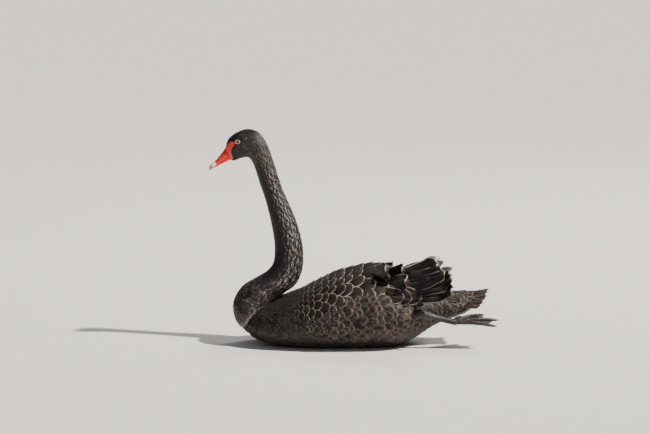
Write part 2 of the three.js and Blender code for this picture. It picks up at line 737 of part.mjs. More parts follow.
function addNode(name, solid, material) {
  const { numProp, numVert, vertProperties, triVerts } = largest(solid).getMesh();
  const positions = new Float32Array(numVert * 3);
  for (let i = 0; i < numVert; i += 1) {
    positions.set(vertProperties.subarray(i * numProp, i * numProp + 3), i * 3);
  }
  const geometry = new THREE.BufferGeometry();
  geometry.setAttribute("position", new THREE.BufferAttribute(positions, 3));
  geometry.setIndex(new THREE.BufferAttribute(triVerts, 1));
  const mesh = new THREE.Mesh(geometry, material);
  mesh.name = name;
  swan.add(mesh);
}

addNode("head", headWithEyes, materials.plumage);
addNode("bill_upper", billUpper, materials.bill);
addNode("bill_lower", lowerBill, materials.bill);
addNode("bill_nail", nail, materials.nail);
addNode("eye_left", eyeBall(LEFT, 0), materials.eye);
addNode("eye_right", eyeBall(RIGHT, 0), materials.eye);
addNode("neck_upper", neckUpper, materials.plumage);
addNode("neck_middle", neckMiddle, materials.plumage);
addNode("neck_lower", neckLower, materials.plumage);
addNode("torso", torso, materials.plumage);
addNode("wing_left", wings[LEFT], materials.plumage);
addNode("wing_right", wings[RIGHT], materials.plumage);
addNode("tail", tail, materials.plumage);
Object.entries(legs).forEach(([name, solid]) => addNode(name, solid, materials.leg));

export default swan;
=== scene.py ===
"""The looks of a black swan at life size, resting on its belly with the left foot stretched out behind.

Shapes are worked out in millimetres from the same sizes as the solids, and go into the meshes in
metres. +Z is up, the bill points towards -X and the bird's left side faces -Y.
"""
from functools import partial

import bmesh
import bpy
import numpy as np
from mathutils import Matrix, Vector


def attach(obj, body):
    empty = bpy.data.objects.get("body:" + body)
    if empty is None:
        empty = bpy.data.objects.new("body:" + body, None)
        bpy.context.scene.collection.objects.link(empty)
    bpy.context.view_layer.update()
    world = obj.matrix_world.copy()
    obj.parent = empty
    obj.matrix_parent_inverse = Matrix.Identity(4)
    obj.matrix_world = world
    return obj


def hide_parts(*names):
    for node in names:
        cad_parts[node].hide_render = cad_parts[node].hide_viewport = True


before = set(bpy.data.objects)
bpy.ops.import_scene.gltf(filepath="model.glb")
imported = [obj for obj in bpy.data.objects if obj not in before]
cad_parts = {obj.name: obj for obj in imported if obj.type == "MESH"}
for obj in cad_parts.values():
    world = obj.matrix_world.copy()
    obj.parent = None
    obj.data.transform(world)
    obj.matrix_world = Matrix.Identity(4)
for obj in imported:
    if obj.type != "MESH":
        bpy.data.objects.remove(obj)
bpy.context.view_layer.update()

MILLIMETRE = 0.001
LEFT, RIGHT = -1, 1
SIDES = (LEFT, RIGHT)
SIDE_NAMES = {LEFT: "left", RIGHT: "right"}
TURN = 2 * np.pi
FLOOR_CLEARANCE = 0.3
SKIN_CLEARANCE = 0.8
DOUBLES_WITHIN = 0.01
CURL_GROWTH = 2.2


# Curves and vectors

def profile(pairs):
    """A smooth curve through (place, value) pairs: cubic pieces with the slopes of the chords."""
    knots, values = np.array(pairs, float).T
    slopes = np.empty_like(values)
    slopes[1:-1] = (values[2:] - values[:-2]) / (knots[2:] - knots[:-2])
    slopes[0] = (values[1] - values[0]) / (knots[1] - knots[0])
    slopes[-1] = (values[-1] - values[-2]) / (knots[-1] - knots[-2])

    def at(place):
        place = np.clip(place, knots[0], knots[-1])
        i = np.clip(np.searchsorted(knots, place, side="right") - 1, 0, len(knots) - 2)
        span = knots[i + 1] - knots[i]
        t = (place - knots[i]) / span
        level = (1 - t) ** 2 * (1 + 2 * t) * values[i] + t ** 2 * (3 - 2 * t) * values[i + 1]
        return level + span * t * (1 - t) * ((1 - t) * slopes[i] - t * slopes[i + 1])

    return at


def through(stations, place):
    """Rows of a table at fractional places, by a Catmull-Rom curve through its rows."""
    stations = np.asarray(stations, float)
    last = len(stations) - 1
    place = np.clip(place, 0, last)
    i = np.clip(np.floor(place).astype(int), 0, last - 1)
    t = (place - i)[..., None]
    a, b, c, d = (stations[np.clip(i + k, 0, last)] for k in (-1, 0, 1, 2))
    return b + 0.5 * t * (c - a + t * (2 * a - 5 * b + 4 * c - d + t * (3 * (b - c) + d - a)))


def unit(vectors):
    return vectors / np.maximum(np.linalg.norm(vectors, axis=-1, keepdims=True), 1e-9)


def stack(x, y, z):
    return np.stack(np.broadcast_arrays(x, y, z), axis=-1)


def smoothstep(low, high, value):
    t = np.clip((value - low) / (high - low), 0, 1)
    return t * t * (3 - 2 * t)


# The bird's surfaces. Each takes two parameters and how far it is grown outwards.

NECK_STATIONS = [
    (-281, 456, -292, 482, 12), (-276, 454, -290, 496, 17), (-269, 455, -282, 511, 21.5),
    (-259, 459, -262, 525, 25), (-248, 462, -238, 532, 27), (-239, 463, -213, 525, 26.5),
    (-232, 459, -196, 505, 24.5), (-226, 450, -184, 478, 22.5), (-218, 430, -172, 442, 21.5),
    (-208, 398, -163, 410, 20.5), (-197, 366, -151, 377, 21), (-188, 334, -136, 343, 23),
    (-180, 299, -120, 304, 26), (-173, 257, -107, 257, 30), (-172, 223, -103, 217, 32.5),
    (-177, 198, -107, 180, 35.5), (-194, 179, -122, 149, 40), (-223, 162, -151, 126, 46),
    (-250, 145, -177, 105, 53), (-269, 118, -197, 82, 58), (-275, 92, -205, 56, 60),
    (-268, 60, -203, 36, 55), (-246, 32, -190, 22, 41),
]
NECK_END = len(NECK_STATIONS) - 1


def neck_rings(place):
    """Middle, reach to the nape and half width of the slice at a fractional station."""
    row = through(NECK_STATIONS, place)
    front = stack(row[..., 0], 0, row[..., 1])
    back = stack(row[..., 2], 0, row[..., 3])
    return (front + back) / 2, (back - front) / 2, row[..., 4]


def neck_surface(place, angle, grow=0.0):
    """An ellipse in each slice from throat to nape: angle 0 is the right side, a quarter turn the nape."""
    middle, reach, half = neck_rings(place)
    length = np.linalg.norm(reach, axis=-1, keepdims=True)
    grow = np.broadcast_to(grow, np.shape(half))
    along = reach / length * (length + grow[..., None]) * np.sin(angle)[..., None]
    return middle + along + stack(0, (half + grow) * np.cos(angle), 0)


TORSO_FRONT, TORSO_BACK = -262, 318
torso_bottom = profile([
    (-262, 52), (-250, 36), (-225, 19), (-190, 7), (-150, -1), (-100, -6), (-30, -8), (60, -7),
    (110, -3), (140, 4), (170, 18), (210, 44), (245, 61), (275, 71), (300, 82), (318, 98),
])
torso_top = profile([
    (-262, 66), (-245, 84), (-215, 98), (-190, 106), (-166, 114), (-110, 136), (-66, 153), (-22, 170),
    (20, 180), (65, 183), (105, 177), (150, 163), (200, 145), (240, 134), (275, 130), (318, 131),
])
torso_half_width = profile([
    (-262, 14), (-250, 44), (-225, 74), (-190, 97), (-150, 112), (-100, 122), (-30, 128), (40, 129),
    (95, 124), (135, 110), (160, 95), (180, 80), (210, 67), (245, 57), (275, 49), (300, 40), (318, 32),
])
flank_swell = profile([
    (-130, 0), (-90, 6), (-49, 14), (12, 22), (81, 29), (130, 27), (156, 20), (174, 4), (184, 0),
])
flank_height = profile([(-130, 10), (-49, 20), (12, 33), (81, 36), (130, 28), (170, 16)])
WAIST = 0.42
FLANK_ABOVE, FLANK_BELOW = 17, 45


def torso_swell(x, rise):
    """How far the flank stands out at a height given as the sine of the angle above the waist."""
    over = np.degrees(np.arcsin(np.clip(rise, -1, 1))) - flank_height(x)
    return flank_swell(x) * np.exp(-(over / np.where(over > 0, FLANK_ABOVE, FLANK_BELOW)) ** 2)


def torso_surface(x, angle, grow=0.0):
    """Two half ellipses that meet at the waist: angle 0 is the right side, a quarter turn the back."""
    bottom = torso_bottom(x) - grow
    top = torso_top(x) + grow
    waist = bottom + WAIST * (top - bottom)
    rise = np.sin(angle)
    z = waist + np.where(rise > 0, top - waist, waist - bottom) * rise
    swell = torso_swell(x, rise) * np.sign(np.cos(angle))
    return stack(x, (torso_half_width(x) + grow) * np.cos(angle) + swell, z)


def inside_torso(points, margin):
    """Whether points lie inside the torso by more than a margin."""
    x, y, z = np.moveaxis(points, -1, 0)
    bottom, top = torso_bottom(x), torso_top(x)
    waist = bottom + WAIST * (top - bottom)
    rise = (z - waist) / np.where(z > waist, top - waist, waist - bottom)
    reach = torso_half_width(x) * np.sqrt(np.clip(1 - rise ** 2, 0, 1)) + torso_swell(x, rise)
    within = (np.abs(rise) < 1) & (x > TORSO_FRONT) & (x < TORSO_BACK)
    return within & (np.abs(y) < reach - margin) & (z < top - margin)


def inside_neck(points, margin):
    """Whether points lie inside the foot of the neck: in the ellipse of a slice that passes near them."""
    middle, reach, half = neck_rings(np.linspace(13, NECK_END, 90))
    length = np.linalg.norm(reach, axis=-1)
    along = reach / length[:, None]
    from_middle = points[:, None, :] - middle[None]
    a = np.einsum("pkc,kc->pk", from_middle, along)
    across = stack(-along[:, 2], 0, along[:, 0])
    c = np.einsum("pkc,kc->pk", from_middle, across)
    shape = (a / (length - margin)) ** 2 + (points[:, None, 1] / (half - margin)) ** 2
    return np.any((shape < 1) & (np.abs(c) < 3), axis=1)


wing_half_width = profile([
    (-150, 111), (-100, 125), (-30, 137), (40, 141), (95, 137), (140, 124), (190, 104), (240, 84),
])
wing_top = profile([
    (-150, 112), (-110, 134), (-66, 155), (-22, 177), (20, 188), (65, 196), (105, 198), (150, 189),
    (200, 171), (240, 155),
])
wing_waist = profile([(-150, 52), (-60, 72), (40, 78), (140, 88), (240, 104)])
wing_sunk = profile([(-150, 13), (-120, 7), (-92, 0)])
wing_low = profile([(-138, 4), (-80, 5), (-49, 8), (12, 17), (81, 16), (130, 7), (172, 4)])
WING_FROM, WING_TO = -146, 172
WING_CLOSES, WING_CLOSED = 60, 42


def wing_closing(x):
    return WING_CLOSED * np.clip((x - WING_CLOSES) / (WING_TO - WING_CLOSES), 0, None) ** 2


def wing_surface_of(side):
    """The outside of one folded wing: a squarish quarter ellipse from the flank up to the midline."""
    def surface(x, degrees, grow=0.0):
        angle = np.radians(degrees)
        proud = grow - wing_sunk(x) - wing_closing(x)
        out = np.sign(np.cos(angle)) * np.abs(np.cos(angle)) ** 0.85
        up = np.sign(np.sin(angle)) * np.abs(np.sin(angle)) ** 0.85
        y = side * (wing_half_width(x) + proud) * out
        z = wing_waist(x) + (wing_top(x) - wing_waist(x) + proud) * up
        return stack(x, y, z)
    return surface


wing_surfaces = {side: wing_surface_of(side) for side in SIDES}


# Meshes

def quads_of(grid):
    """Four-cornered faces between the rows and columns of a grid of point numbers."""
    faces = np.stack([grid[:-1, :-1], grid[1:, :-1], grid[1:, 1:], grid[:-1, 1:]], axis=-1)
    return faces.reshape(-1, 4)


def new_mesh(name, points, faces):
    """A mesh of four-cornered faces, from points in millimetres."""
    mesh = bpy.data.meshes.new(name)
    mesh.vertices.add(len(points))
    mesh.vertices.foreach_set("co", (points * MILLIMETRE).astype(np.float32).ravel())
    mesh.loops.add(faces.size)
    mesh.loops.foreach_set("vertex_index", faces.astype(np.int32).ravel())
    mesh.polygons.add(len(faces))
    mesh.polygons.foreach_set("loop_start", np.arange(0, faces.size, 4, dtype=np.int32))
    mesh.polygons.foreach_set("use_smooth", np.ones(len(faces), bool))
    mesh.update(calc_edges=True)
    return mesh


def new_object(name, mesh, material):
    mesh.materials.append(material)
    piece = bpy.data.objects.new(name, mesh)
    bpy.context.scene.collection.objects.link(piece)
    return piece


def add_uv(mesh, name, per_point):
    corners = np.empty(len(mesh.loops), np.int32)
    mesh.loops.foreach_get("vertex_index", corners)
    layer = mesh.uv_layers.new(name=name)
    layer.data.foreach_set("uv", per_point[corners].astype(np.float32).ravel())


def closed_grid(points):
    """A closed surface from rings of points: the rings wrap round, and each end is drawn to its middle."""
    rings, sides = points.shape[:2]
    first, last = (np.repeat(points[k].mean(axis=0)[None], sides, axis=0)[None] for k in (0, -1))
    full = np.concatenate([first, points, last])
    numbers = np.arange((rings + 2) * sides).reshape(rings + 2, sides)
    numbers = np.concatenate([numbers, numbers[:, :1]], axis=1)
    return full.reshape(-1, 3), quads_of(numbers)


def joined(forms):
    """The points and the faces of several closed forms, as one array of each."""
    points, faces, count = [], [], 0
    for some, sides in forms:
        points.append(some)
        faces.append(sides + count)
        count += len(some)
    return np.concatenate(points), np.concatenate(faces)


def closed_piece(name, points, faces, material):
    """A piece of closed forms, with its doubled points merged and its faces pointing outwards."""
    mesh = new_mesh(name, points, faces)
    edit = bmesh.new()
    edit.from_mesh(mesh)
    bmesh.ops.remove_doubles(edit, verts=edit.verts, dist=DOUBLES_WITHIN * MILLIMETRE)
    bmesh.ops.recalc_face_normals(edit, faces=edit.faces)
    edit.to_mesh(mesh)
    edit.free()
    return new_object(name, mesh, material)


# Feathers

def leaf(rows, columns):
    """The points of one closed leaf as two parameters, along 0 to 1 and across -1 to 1, and its faces.

    The lower face shares the rim of the upper one, and below is 1 on its own inner points. Rows stand
    closer towards the tip, as the 1.5th power of the way left.
    """
    towards_tip = 1 - (1 - np.linspace(0, 1, rows)) ** 1.5
    along, across = np.meshgrid(towards_tip, np.linspace(-1, 1, columns), indexing="ij")
    upper = np.arange(rows * columns).reshape(rows, columns)
    lower = upper.copy()
    inner = (rows - 2) * (columns - 2)
    lower[1:-1, 1:-1] = rows * columns + np.arange(inner).reshape(rows - 2, columns - 2)
    t = np.concatenate([along.ravel(), along[1:-1, 1:-1].ravel()])
    s = np.concatenate([across.ravel(), across[1:-1, 1:-1].ravel()])
    below = np.concatenate([np.zeros(rows * columns), np.ones(inner)])
    faces = np.concatenate([quads_of(upper), quads_of(lower)[:, ::-1]])
    return {"t": t, "s": s, "below": below, "faces": faces}


def rounded(t, tip):
    """Half width along a vane as a share of its greatest: it widens from the root and rounds at the tip."""
    return np.minimum(1, 0.4 + 1.9 * t) * np.sqrt(np.clip(1 - 0.96 * t ** tip, 0, 1))


def pointed(t, tip):
    """Half width along a barb: widest near its root and tapering to a fine tip."""
    return np.minimum(1, 0.55 + 2 * t) * (1 - 0.93 * t ** tip)


def feather_object(name, form, points, bake, patch, tint, material):
    """One mesh of many feathers, with their own coordinates, tints and places on the unwrapped skin."""
    count, size = points.shape[:2]
    points[..., 2] = np.maximum(points[..., 2], FLOOR_CLEARANCE)
    faces = (form["faces"][None] + size * np.arange(count)[:, None, None]).reshape(-1, 4)
    mesh = new_mesh(name, points.reshape(-1, 3), faces)
    own = np.stack([form["s"] / 2 + 0.5, form["t"]], axis=-1)
    add_uv(mesh, "vane", np.tile(own, (count, 1)))
    corner = bake[:, None, :] + np.asarray(patch) * (own[None] - 0.5)
    add_uv(mesh, "OFBake", np.clip(corner, 0, 1).reshape(-1, 2))
    layer = mesh.attributes.new("tint", "FLOAT", "POINT")
    layer.data.foreach_set("value", np.repeat(tint, size).astype(np.float32))
    mesh.set_sharp_from_angle(angle=np.radians(70))
    return new_object(name, mesh, material)


def staggered(surface, rows, spacing, low, high, draw, jitter=0.3):
    """Roots in staggered rows: each row is filled evenly by length from low to high, with a jitter."""
    places, arounds = [], []
    for k, row in enumerate(rows):
        line = np.linspace(low(row), high(row), 161)
        steps = np.linalg.norm(np.diff(surface(np.full(161, row), line), axis=0), axis=-1)
        arc = np.concatenate([[0], np.cumsum(steps)])
        count = max(int(arc[-1] / spacing(row)), 2)
        at = (np.arange(count) + (0.25, 0.75)[k % 2]) / count * arc[-1]
        at += jitter * spacing(row) * (draw.random(count) - 0.5)
        arounds.append(np.interp(at, arc, line))
        gap = rows[min(k + 1, len(rows) - 1)] - rows[max(k - 1, 0)]
        places.append(row + jitter * gap / 2 * (draw.random(count) - 0.5))
    return np.concatenate(places), np.concatenate(arounds)


def laid(surface, steps, place, around, length, lift, sunk, skew=0.0):
    """Root, middle and tip of feathers that lie along a surface, and its outward direction there."""
    du, dv = steps
    ahead = surface(place + du, around) - surface(place - du, around)
    beside = surface(place, around + dv) - surface(place, around - dv)
    speed = np.linalg.norm(ahead, axis=-1) / (2 * du)
    turn_speed = np.linalg.norm(beside, axis=-1) / (2 * dv)
    far = length / np.maximum(speed, 1e-6)
    aside = skew * length / np.maximum(turn_speed, 1e-6)
    root = surface(place, around, -sunk)
    middle = surface(place + far * 0.5, around + aside * 0.4, lift * 0.35)
    tip = surface(place + far, around + aside, lift)
    out = unit(np.cross(ahead, beside))
    out *= np.sign(np.sum(out * (surface(place, around, 1.0) - surface(place, around)), axis=-1))[:, None]
    return root, middle, tip, out


def laid_points(form, root, middle, tip, out, width, outline, sharpness, droop, thick):
    """Points of laid feathers: a parabola through root, middle and tip, widened across by the outline.

    Edges droop towards the skin, and the tip's edge is rounded back.
    """
    t, s, below = (form[key][None, :, None] for key in ("t", "s", "below"))
    base = (root[:, None] * (1 - t) * (1 - 2 * t) + middle[:, None] * 4 * t * (1 - t)
            + tip[:, None] * t * (2 * t - 1))
    ahead = unit(tip - root)[:, None]
    across = unit(np.cross(out, tip - root))[:, None]
    half = (np.asarray(width) / 2)[:, None, None] * outline(t, sharpness)
    rounding = (np.asarray(width) / 2)[:, None, None] * 0.1 * s ** 2 * t ** 3
    high = -droop * half * s ** 2 - thick * below * (1 - s ** 2)
    return base + across * half * s - ahead * rounding + out[:, None] * high


def open_points(form, feather, side, group, draw):
    """Points of one open feather: its shaft turns from the heading towards its face by the curl.

    The turn grows as the way along to the power of CURL_GROWTH, and the edges bend and ripple.
    """
    turned = np.array([1, side, 1])
    lower = group["right_lower"] if side == RIGHT else 0
    angle = np.radians(feather["rise"] - lower + group.get("stray", 3) * (draw.random() - 0.5))
    heading = unit(turned * [np.cos(angle), feather["out"], np.sin(angle)])
    across = unit(np.cross(turned * group["face"], heading))
    up = np.cross(heading, across)
    length = feather["length"] * varied(draw, None, 0.04)
    fine = np.linspace(0, 1, 200)
    bend = np.radians(feather["curl"]) * fine ** CURL_GROWTH
    run, rise = (np.concatenate([[0], np.cumsum((way(bend[1:]) + way(bend[:-1])) / 2)]) / 199 * length
                 for way in (np.cos, np.sin))
    t, s, below = form["t"], form["s"], form["below"]
    at = np.interp(t, fine, bend)
    ahead = np.cos(at)[:, None] * heading + np.sin(at)[:, None] * up
    top = -np.sin(at)[:, None] * heading + np.cos(at)[:, None] * up
    spine = turned * feather["root"]
    spine = spine + np.interp(t, fine, run)[:, None] * heading + np.interp(t, fine, rise)[:, None] * up
    half = feather["width"] / 2 * rounded(t, group.get("tip", 4))
    phase = TURN * draw.random()
    twist = group["wave"] * t * np.sin(phase + 1.2 * TURN * t)
    ripple = s ** 2 * np.sin(phase * 2 + 3.2 * TURN * t + 1.5 * s) + 0.6 * t ** 3 * np.sin(phase + 5 * s)
    frill = group.get("frill", 0) * t ** 1.5 * ripple
    cup = np.abs(s) ** 1.6 * half * group["cup"]
    high = s * twist + cup + frill - group["thick"] * below * (1 - s ** 2)
    back = feather["width"] * (0.03 * t * np.abs(s) + 0.08 * s ** 2 * t ** 6)
    return spine + across * (s * half)[:, None] - ahead * back[:, None] + top * high[:, None]


# Materials

def linear(hex_colour):
    """An sRGB hex colour as the linear colour that a shader takes."""
    channels = np.array([int(hex_colour[i:i + 2], 16) / 255 for i in (1, 3, 5)])
    channels = np.where(channels <= 0.04045, channels / 12.92, ((channels + 0.055) / 1.055) ** 2.4)
    return (*channels, 1.0)


def add_node(material, kind, inputs=(), output=0, **settings):
    """Adds a node, sets its properties, links or sets its inputs, and gives one of its outputs.

    Inputs come in their order or by number or name, and one that is a hex string is a colour.
    """
    node = material.node_tree.nodes.new("ShaderNode" + kind)
    for name, value in settings.items():
        setattr(node, name, value)
    for name, value in (inputs.items() if isinstance(inputs, dict) else enumerate(inputs)):
        if isinstance(value, bpy.types.NodeSocket):
            material.node_tree.links.new(value, node.inputs[name])
        else:
            node.inputs[name].default_value = linear(value) if isinstance(value, str) else value
    return node.outputs[output]


def new_material(name, **shader):
    """A material whose Principled shader has its sockets set by name, and add_node for that material."""
    material = bpy.data.materials.new(name)
    material.use_nodes = True
    sockets = material.node_tree.nodes["Principled BSDF"].inputs
    for socket, value in shader.items():
        sockets[socket.replace("_", " ")].default_value = value
    return material, partial(add_node, material)


def finished(material, colour, relief=None):
    """The material with its colour, and its relief where it has one, linked to the shader."""
    sockets = material.node_tree.nodes["Principled BSDF"].inputs
    material.node_tree.links.new(colour, sockets["Base Color"])
    if relief is not None:
        material.node_tree.links.new(relief, sockets["Normal"])
    return material


# Settings of a smooth step from 0 to 1 between two values, and of a blend from colour 6 to colour 7.
SMOOTH = {"interpolation_type": "SMOOTHSTEP"}
BLEND = {"data_type": "RGBA", "output": 2}
TIMES, TIMES_PLUS = {"operation": "MULTIPLY"}, {"operation": "MULTIPLY_ADD"}


def feather_material(name, deep, vane, edge, edge_from, tip_from, barbs, rough, fringe_and_sheen_by_tint, cloudy,
                     gloss, split=0.0):
    """Keratin vanes: dark, matt and slightly silky, paler towards the tip and palest along the rim, a pale
    fringe partly of their own colour and partly a painted highlight.

    The barbs are fine slanting lines from the shaft to the edge, drawn coarser than real ones so that
    they show, with a thin shaft down the middle. Where barbs have parted, lighter lines run along the vane.
    """
    material, add = new_material(name, Roughness=rough, IOR=1.54, Specular_IOR_Level=gloss,
                                 Sheen_Weight=0.03, Sheen_Roughness=0.4)
    own = add("UVMap", uv_map="vane")
    across = add("SeparateXYZ", (own,))
    along = across.node.outputs[1]
    off_shaft = add("Math", (add("Math", (across, 2.0, -1.0), **TIMES_PLUS),), operation="ABSOLUTE")
    tint = add("Attribute", output="Fac", attribute_name="tint")
    place = add("TexCoord", output="Object")
    cloud = add("TexNoise", {"Vector": place, "Scale": 40.0, "Detail": 3.0, "Roughness": 0.55})
    lighter = add("Math", (tint, 1.1 - cloudy, -0.2 * cloudy), **TIMES_PLUS)
    lighter = add("Math", (cloud, cloudy, lighter), **TIMES_PLUS)
    lighter = add("Math", (lighter, add("MapRange", (along, 0.15, 0.9), **SMOOTH)), **TIMES)
    base = add("Mix", {0: lighter, 6: deep, 7: vane}, **BLEND)
    slant = add("Math", (off_shaft, -barbs * 0.28, 0.0), **TIMES_PLUS)
    line = add("Math", (along, barbs, slant), **TIMES_PLUS)
    barb = add("Math", (add("Math", (line,), operation="SINE"), 0.5, 0.5), **TIMES_PLUS)
    base = add("Mix", {0: add("Math", (barb, 0.22), **TIMES), 6: base, 7: deep}, **BLEND)
    if split:
        stretched = add("VectorMath", (own, (26.0, 1.3, 1.0)), **TIMES)
        parted = add("TexNoise", {"Vector": stretched, "Scale": 1.0, "Detail": 2.0, "Roughness": 0.55})
        parted = add("MapRange", (parted, 0.55, 0.72), **SMOOTH)
        base = add("Mix", {0: add("Math", (parted, split), **TIMES), 6: base, 7: edge}, **BLEND)
    # The rim: the vanes' own pale fringe, brightened as a painted highlight of edges catching the light; tint
    # sets its strength.
    side_rim = add("MapRange", (off_shaft, edge_from, 1.0), **SMOOTH)
    side_rim = add("Math", (side_rim, add("MapRange", (along, 0.3, 0.75), **SMOOTH)), **TIMES)
    tip_rim = add("MapRange", (along, tip_from, 1.0), **SMOOTH)
    rim = add("Math", (side_rim, tip_rim), operation="MAXIMUM")
    strength = add("Math", (tint, fringe_and_sheen_by_tint, 1.0 - fringe_and_sheen_by_tint), **TIMES_PLUS)
    strength = add("Math", (barb, -0.2, strength), **TIMES_PLUS)
    # Painted highlight together with the real pale fringe: the rim colour mixed in along the edges and tip.
    worn = add("Mix", {0: add("Math", (rim, strength), **TIMES), 6: base, 7: edge}, **BLEND)
    shaft = add("MapRange", (off_shaft, 0.07, 0.015), **SMOOTH)
    worn = add("Mix", {0: add("Math", (shaft, 0.5), **TIMES), 6: worn, 7: deep}, **BLEND)
    return finished(material, worn, add("Bump", {"Strength": 0.2, "Distance": 0.0004, "Height": barb}))


def skin_material():
    """Dark skin and down between the feathers: matt, near black, with a fine uneven grain."""
    material, add = new_material("feathered_skin", Roughness=0.85, IOR=1.45)
    place = add("TexCoord", output="Object")
    grain = add("TexNoise", {"Vector": place, "Scale": 420.0, "Detail": 4.0, "Roughness": 0.55})
    colour = add("Mix", {0: grain, 6: "#0e0b0b", 7: "#231d1c"}, **BLEND)
    return finished(material, colour, add("Bump", {"Strength": 0.5, "Distance": 0.0008, "Height": grain}))


def distance_along(add, place, start, end):
    """How far a point is from a start, in metres, measured in the direction of an end."""
    start, end = np.array(start) * MILLIMETRE, np.array(end) * MILLIMETRE
    away = add("VectorMath", (place, tuple(start)), operation="SUBTRACT")
    return add("VectorMath", (away, tuple(unit(end - start))), "Value", operation="DOT_PRODUCT")


def bill_material():
    """Living horn of the bill: satin red keratin with a faint network of creases and darker blotches.

    A white band crosses it before the tip. The nostril's opening is painted dark as the shade inside it, and
    a paler ring round its rim is a painted highlight.
    """
    material, add = new_material("bill_horn", Roughness=0.38, IOR=1.54, Subsurface_Weight=0.06,
                                 Subsurface_Radius=(0.004, 0.0015, 0.001), Subsurface_Scale=0.5)
    place = add("TexCoord", output="Object")
    blotch = add("TexNoise", {"Vector": place, "Scale": 95.0, "Detail": 4.0, "Roughness": 0.55})
    fine = add("TexNoise", {"Vector": place, "Scale": 900.0, "Detail": 3.0, "Roughness": 0.55})
    light = add("MapRange", (blotch, 0.38, 0.66), **SMOOTH)
    red = add("Mix", {0: light, 6: "#c4170c", 7: "#e22f1d"}, **BLEND)
    crease = add("MapRange", (fine, 0.52, 0.72), **SMOOTH)
    red = add("Mix", {0: crease, 6: red, 7: "#8e120c"}, **BLEND)
    from_tip = distance_along(add, place, BILL_TIP, BILL_ROOT)
    above = distance_along(add, place, BILL_TIP, BILL_OVER)
    ragged = add("Math", (blotch, 0.008, from_tip), **TIMES_PLUS)
    starts = add("MapRange", (ragged, 0.014, 0.016), **SMOOTH)
    ends = add("MapRange", (ragged, 0.0295, 0.0265), **SMOOTH)
    band = add("Math", (starts, ends), **TIMES)
    band = add("Math", (band, add("MapRange", (above, -0.0022, -0.0004), **SMOOTH)), **TIMES)
    colour = add("Mix", {0: band, 6: red, 7: "#fbf7f3"}, **BLEND)
    tip = add("MapRange", (ragged, 0.016, 0.014), **SMOOTH)
    colour = add("Mix", {0: tip, 6: colour, 7: "#c99a94"}, **BLEND)
    squares = []
    for towards, half in NOSTRIL_HALVES:
        off = distance_along(add, place, NOSTRIL, towards)
        off = add("Math", (off, 1 / (half * MILLIMETRE)), **TIMES)
        squares.append(add("Math", (off, off), **TIMES))
    pit = add("Math", squares, operation="ADD")
    # Painted highlight: a paler red ring round the nostril; painted shade: its opening dark within.
    colour = add("Mix", {0: add("MapRange", (pit, 3.6, 2.0), **SMOOTH), 6: colour, 7: "#ea5a48"}, **BLEND)
    colour = add("Mix", {0: add("MapRange", (pit, 1.5, 0.8), **SMOOTH), 6: colour, 7: "#1d0605"}, **BLEND)
    return finished(material, colour, add("Bump", {"Strength": 0.25, "Distance": 0.0004, "Height": fine}))


def nail_material():
    """The nail at the bill's tip: thick pale keratin, smooth and slightly translucent, worn pinkish."""
    material, add = new_material("nail_horn", Roughness=0.32, IOR=1.54, Subsurface_Weight=0.1,
                                 Subsurface_Scale=0.4)
    place = add("TexCoord", output="Object")
    cloud = add("TexNoise", {"Vector": place, "Scale": 160.0, "Detail": 3.0, "Roughness": 0.55})
    darker = add("MapRange", (cloud, 0.35, 0.65), **SMOOTH)
    return finished(material, add("Mix", {0: darker, 6: "#d89f97", 7: "#95625c"}, **BLEND))


def lid_material():
    """Bare eyelid skin: pale pinkish, soft and finely wrinkled."""
    material, add = new_material("eyelid_skin", Roughness=0.5, IOR=1.4, Subsurface_Weight=0.15,
                                 Subsurface_Scale=0.3)
    place = add("TexCoord", output="Object")
    wrinkle = add("TexNoise", {"Vector": place, "Scale": 1200.0, "Detail": 3.0, "Roughness": 0.55})
    colour = add("Mix", {0: wrinkle, 6: "#e3b5a8", 7: "#a8746c"}, **BLEND)
    return finished(material, colour, add("Bump", {"Strength": 0.3, "Distance": 0.0002, "Height": wrinkle}))


def eye_material(side):
    """A wet eye: a black pupil in a ruby iris with fine spokes, darker at its rim, under a clear coat."""
    material, add = new_material("eye_" + SIDE_NAMES[side] + "_wet", Roughness=0.06, IOR=1.38,
                                 Coat_Weight=1.0, Coat_Roughness=0.02)
    place = add("TexCoord", output="Object")
    centre = tuple(eye_centre(side) * MILLIMETRE)
    from_centre = add("VectorMath", (place, centre), operation="SUBTRACT")
    flat = add("VectorMath", (from_centre, (1.0, 0.0, 1.0)), **TIMES)
    off = add("VectorMath", (flat,), "Value", operation="LENGTH")
    spokes = add("TexNoise", {"Vector": from_centre, "Scale": 1500.0, "Detail": 2.0, "Roughness": 0.55})
    iris = add("Mix", {0: spokes, 6: "#6a0f0a", 7: "#a01e14"}, **BLEND)
    iris = add("Mix", {0: add("MapRange", (off, 0.0031, 0.0039), **SMOOTH), 6: iris, 7: "#3c0806"}, **BLEND)
    outside_pupil = add("MapRange", (off, 0.0018, 0.0021), **SMOOTH)
    return finished(material, add("Mix", {0: outside_pupil, 6: "#040303", 7: iris}, **BLEND))


def leg_material():
    """Scaly skin of the legs: small many-sided scales with pale wet glints, dark grey with a purple cast."""
    material, add = new_material("scaly_skin", Roughness=0.34, IOR=1.45)
    place = add("TexCoord", output="Object")
    scales = {"Vector": place, "Scale": 330.0}
    to_edge = add("TexVoronoi", scales, "Distance", feature="DISTANCE_TO_EDGE")
    shades = add("TexVoronoi", scales, "Color")
    cloud = add("TexNoise", {"Vector": place, "Scale": 60.0, "Detail": 3.0, "Roughness": 0.55})
    groove = add("MapRange", (to_edge, 0.0, 0.1), **SMOOTH)
    cloudy = add("MapRange", (cloud, 0.4, 0.62), **SMOOTH)
    colour = add("Mix", {0: cloudy, 6: "#0d0b0b", 7: "#2b2324"}, **BLEND)
    colour = add("Mix", {0: add("Math", (shades, 0.35), **TIMES), 6: colour, 7: "#4e4446"}, **BLEND)
    colour = add("Mix", {0: groove, 6: "#0f0c0d", 7: colour}, **BLEND)
    return finished(material, colour, add("Bump", {"Strength": 0.55, "Distance": 0.0006, "Height": groove}))


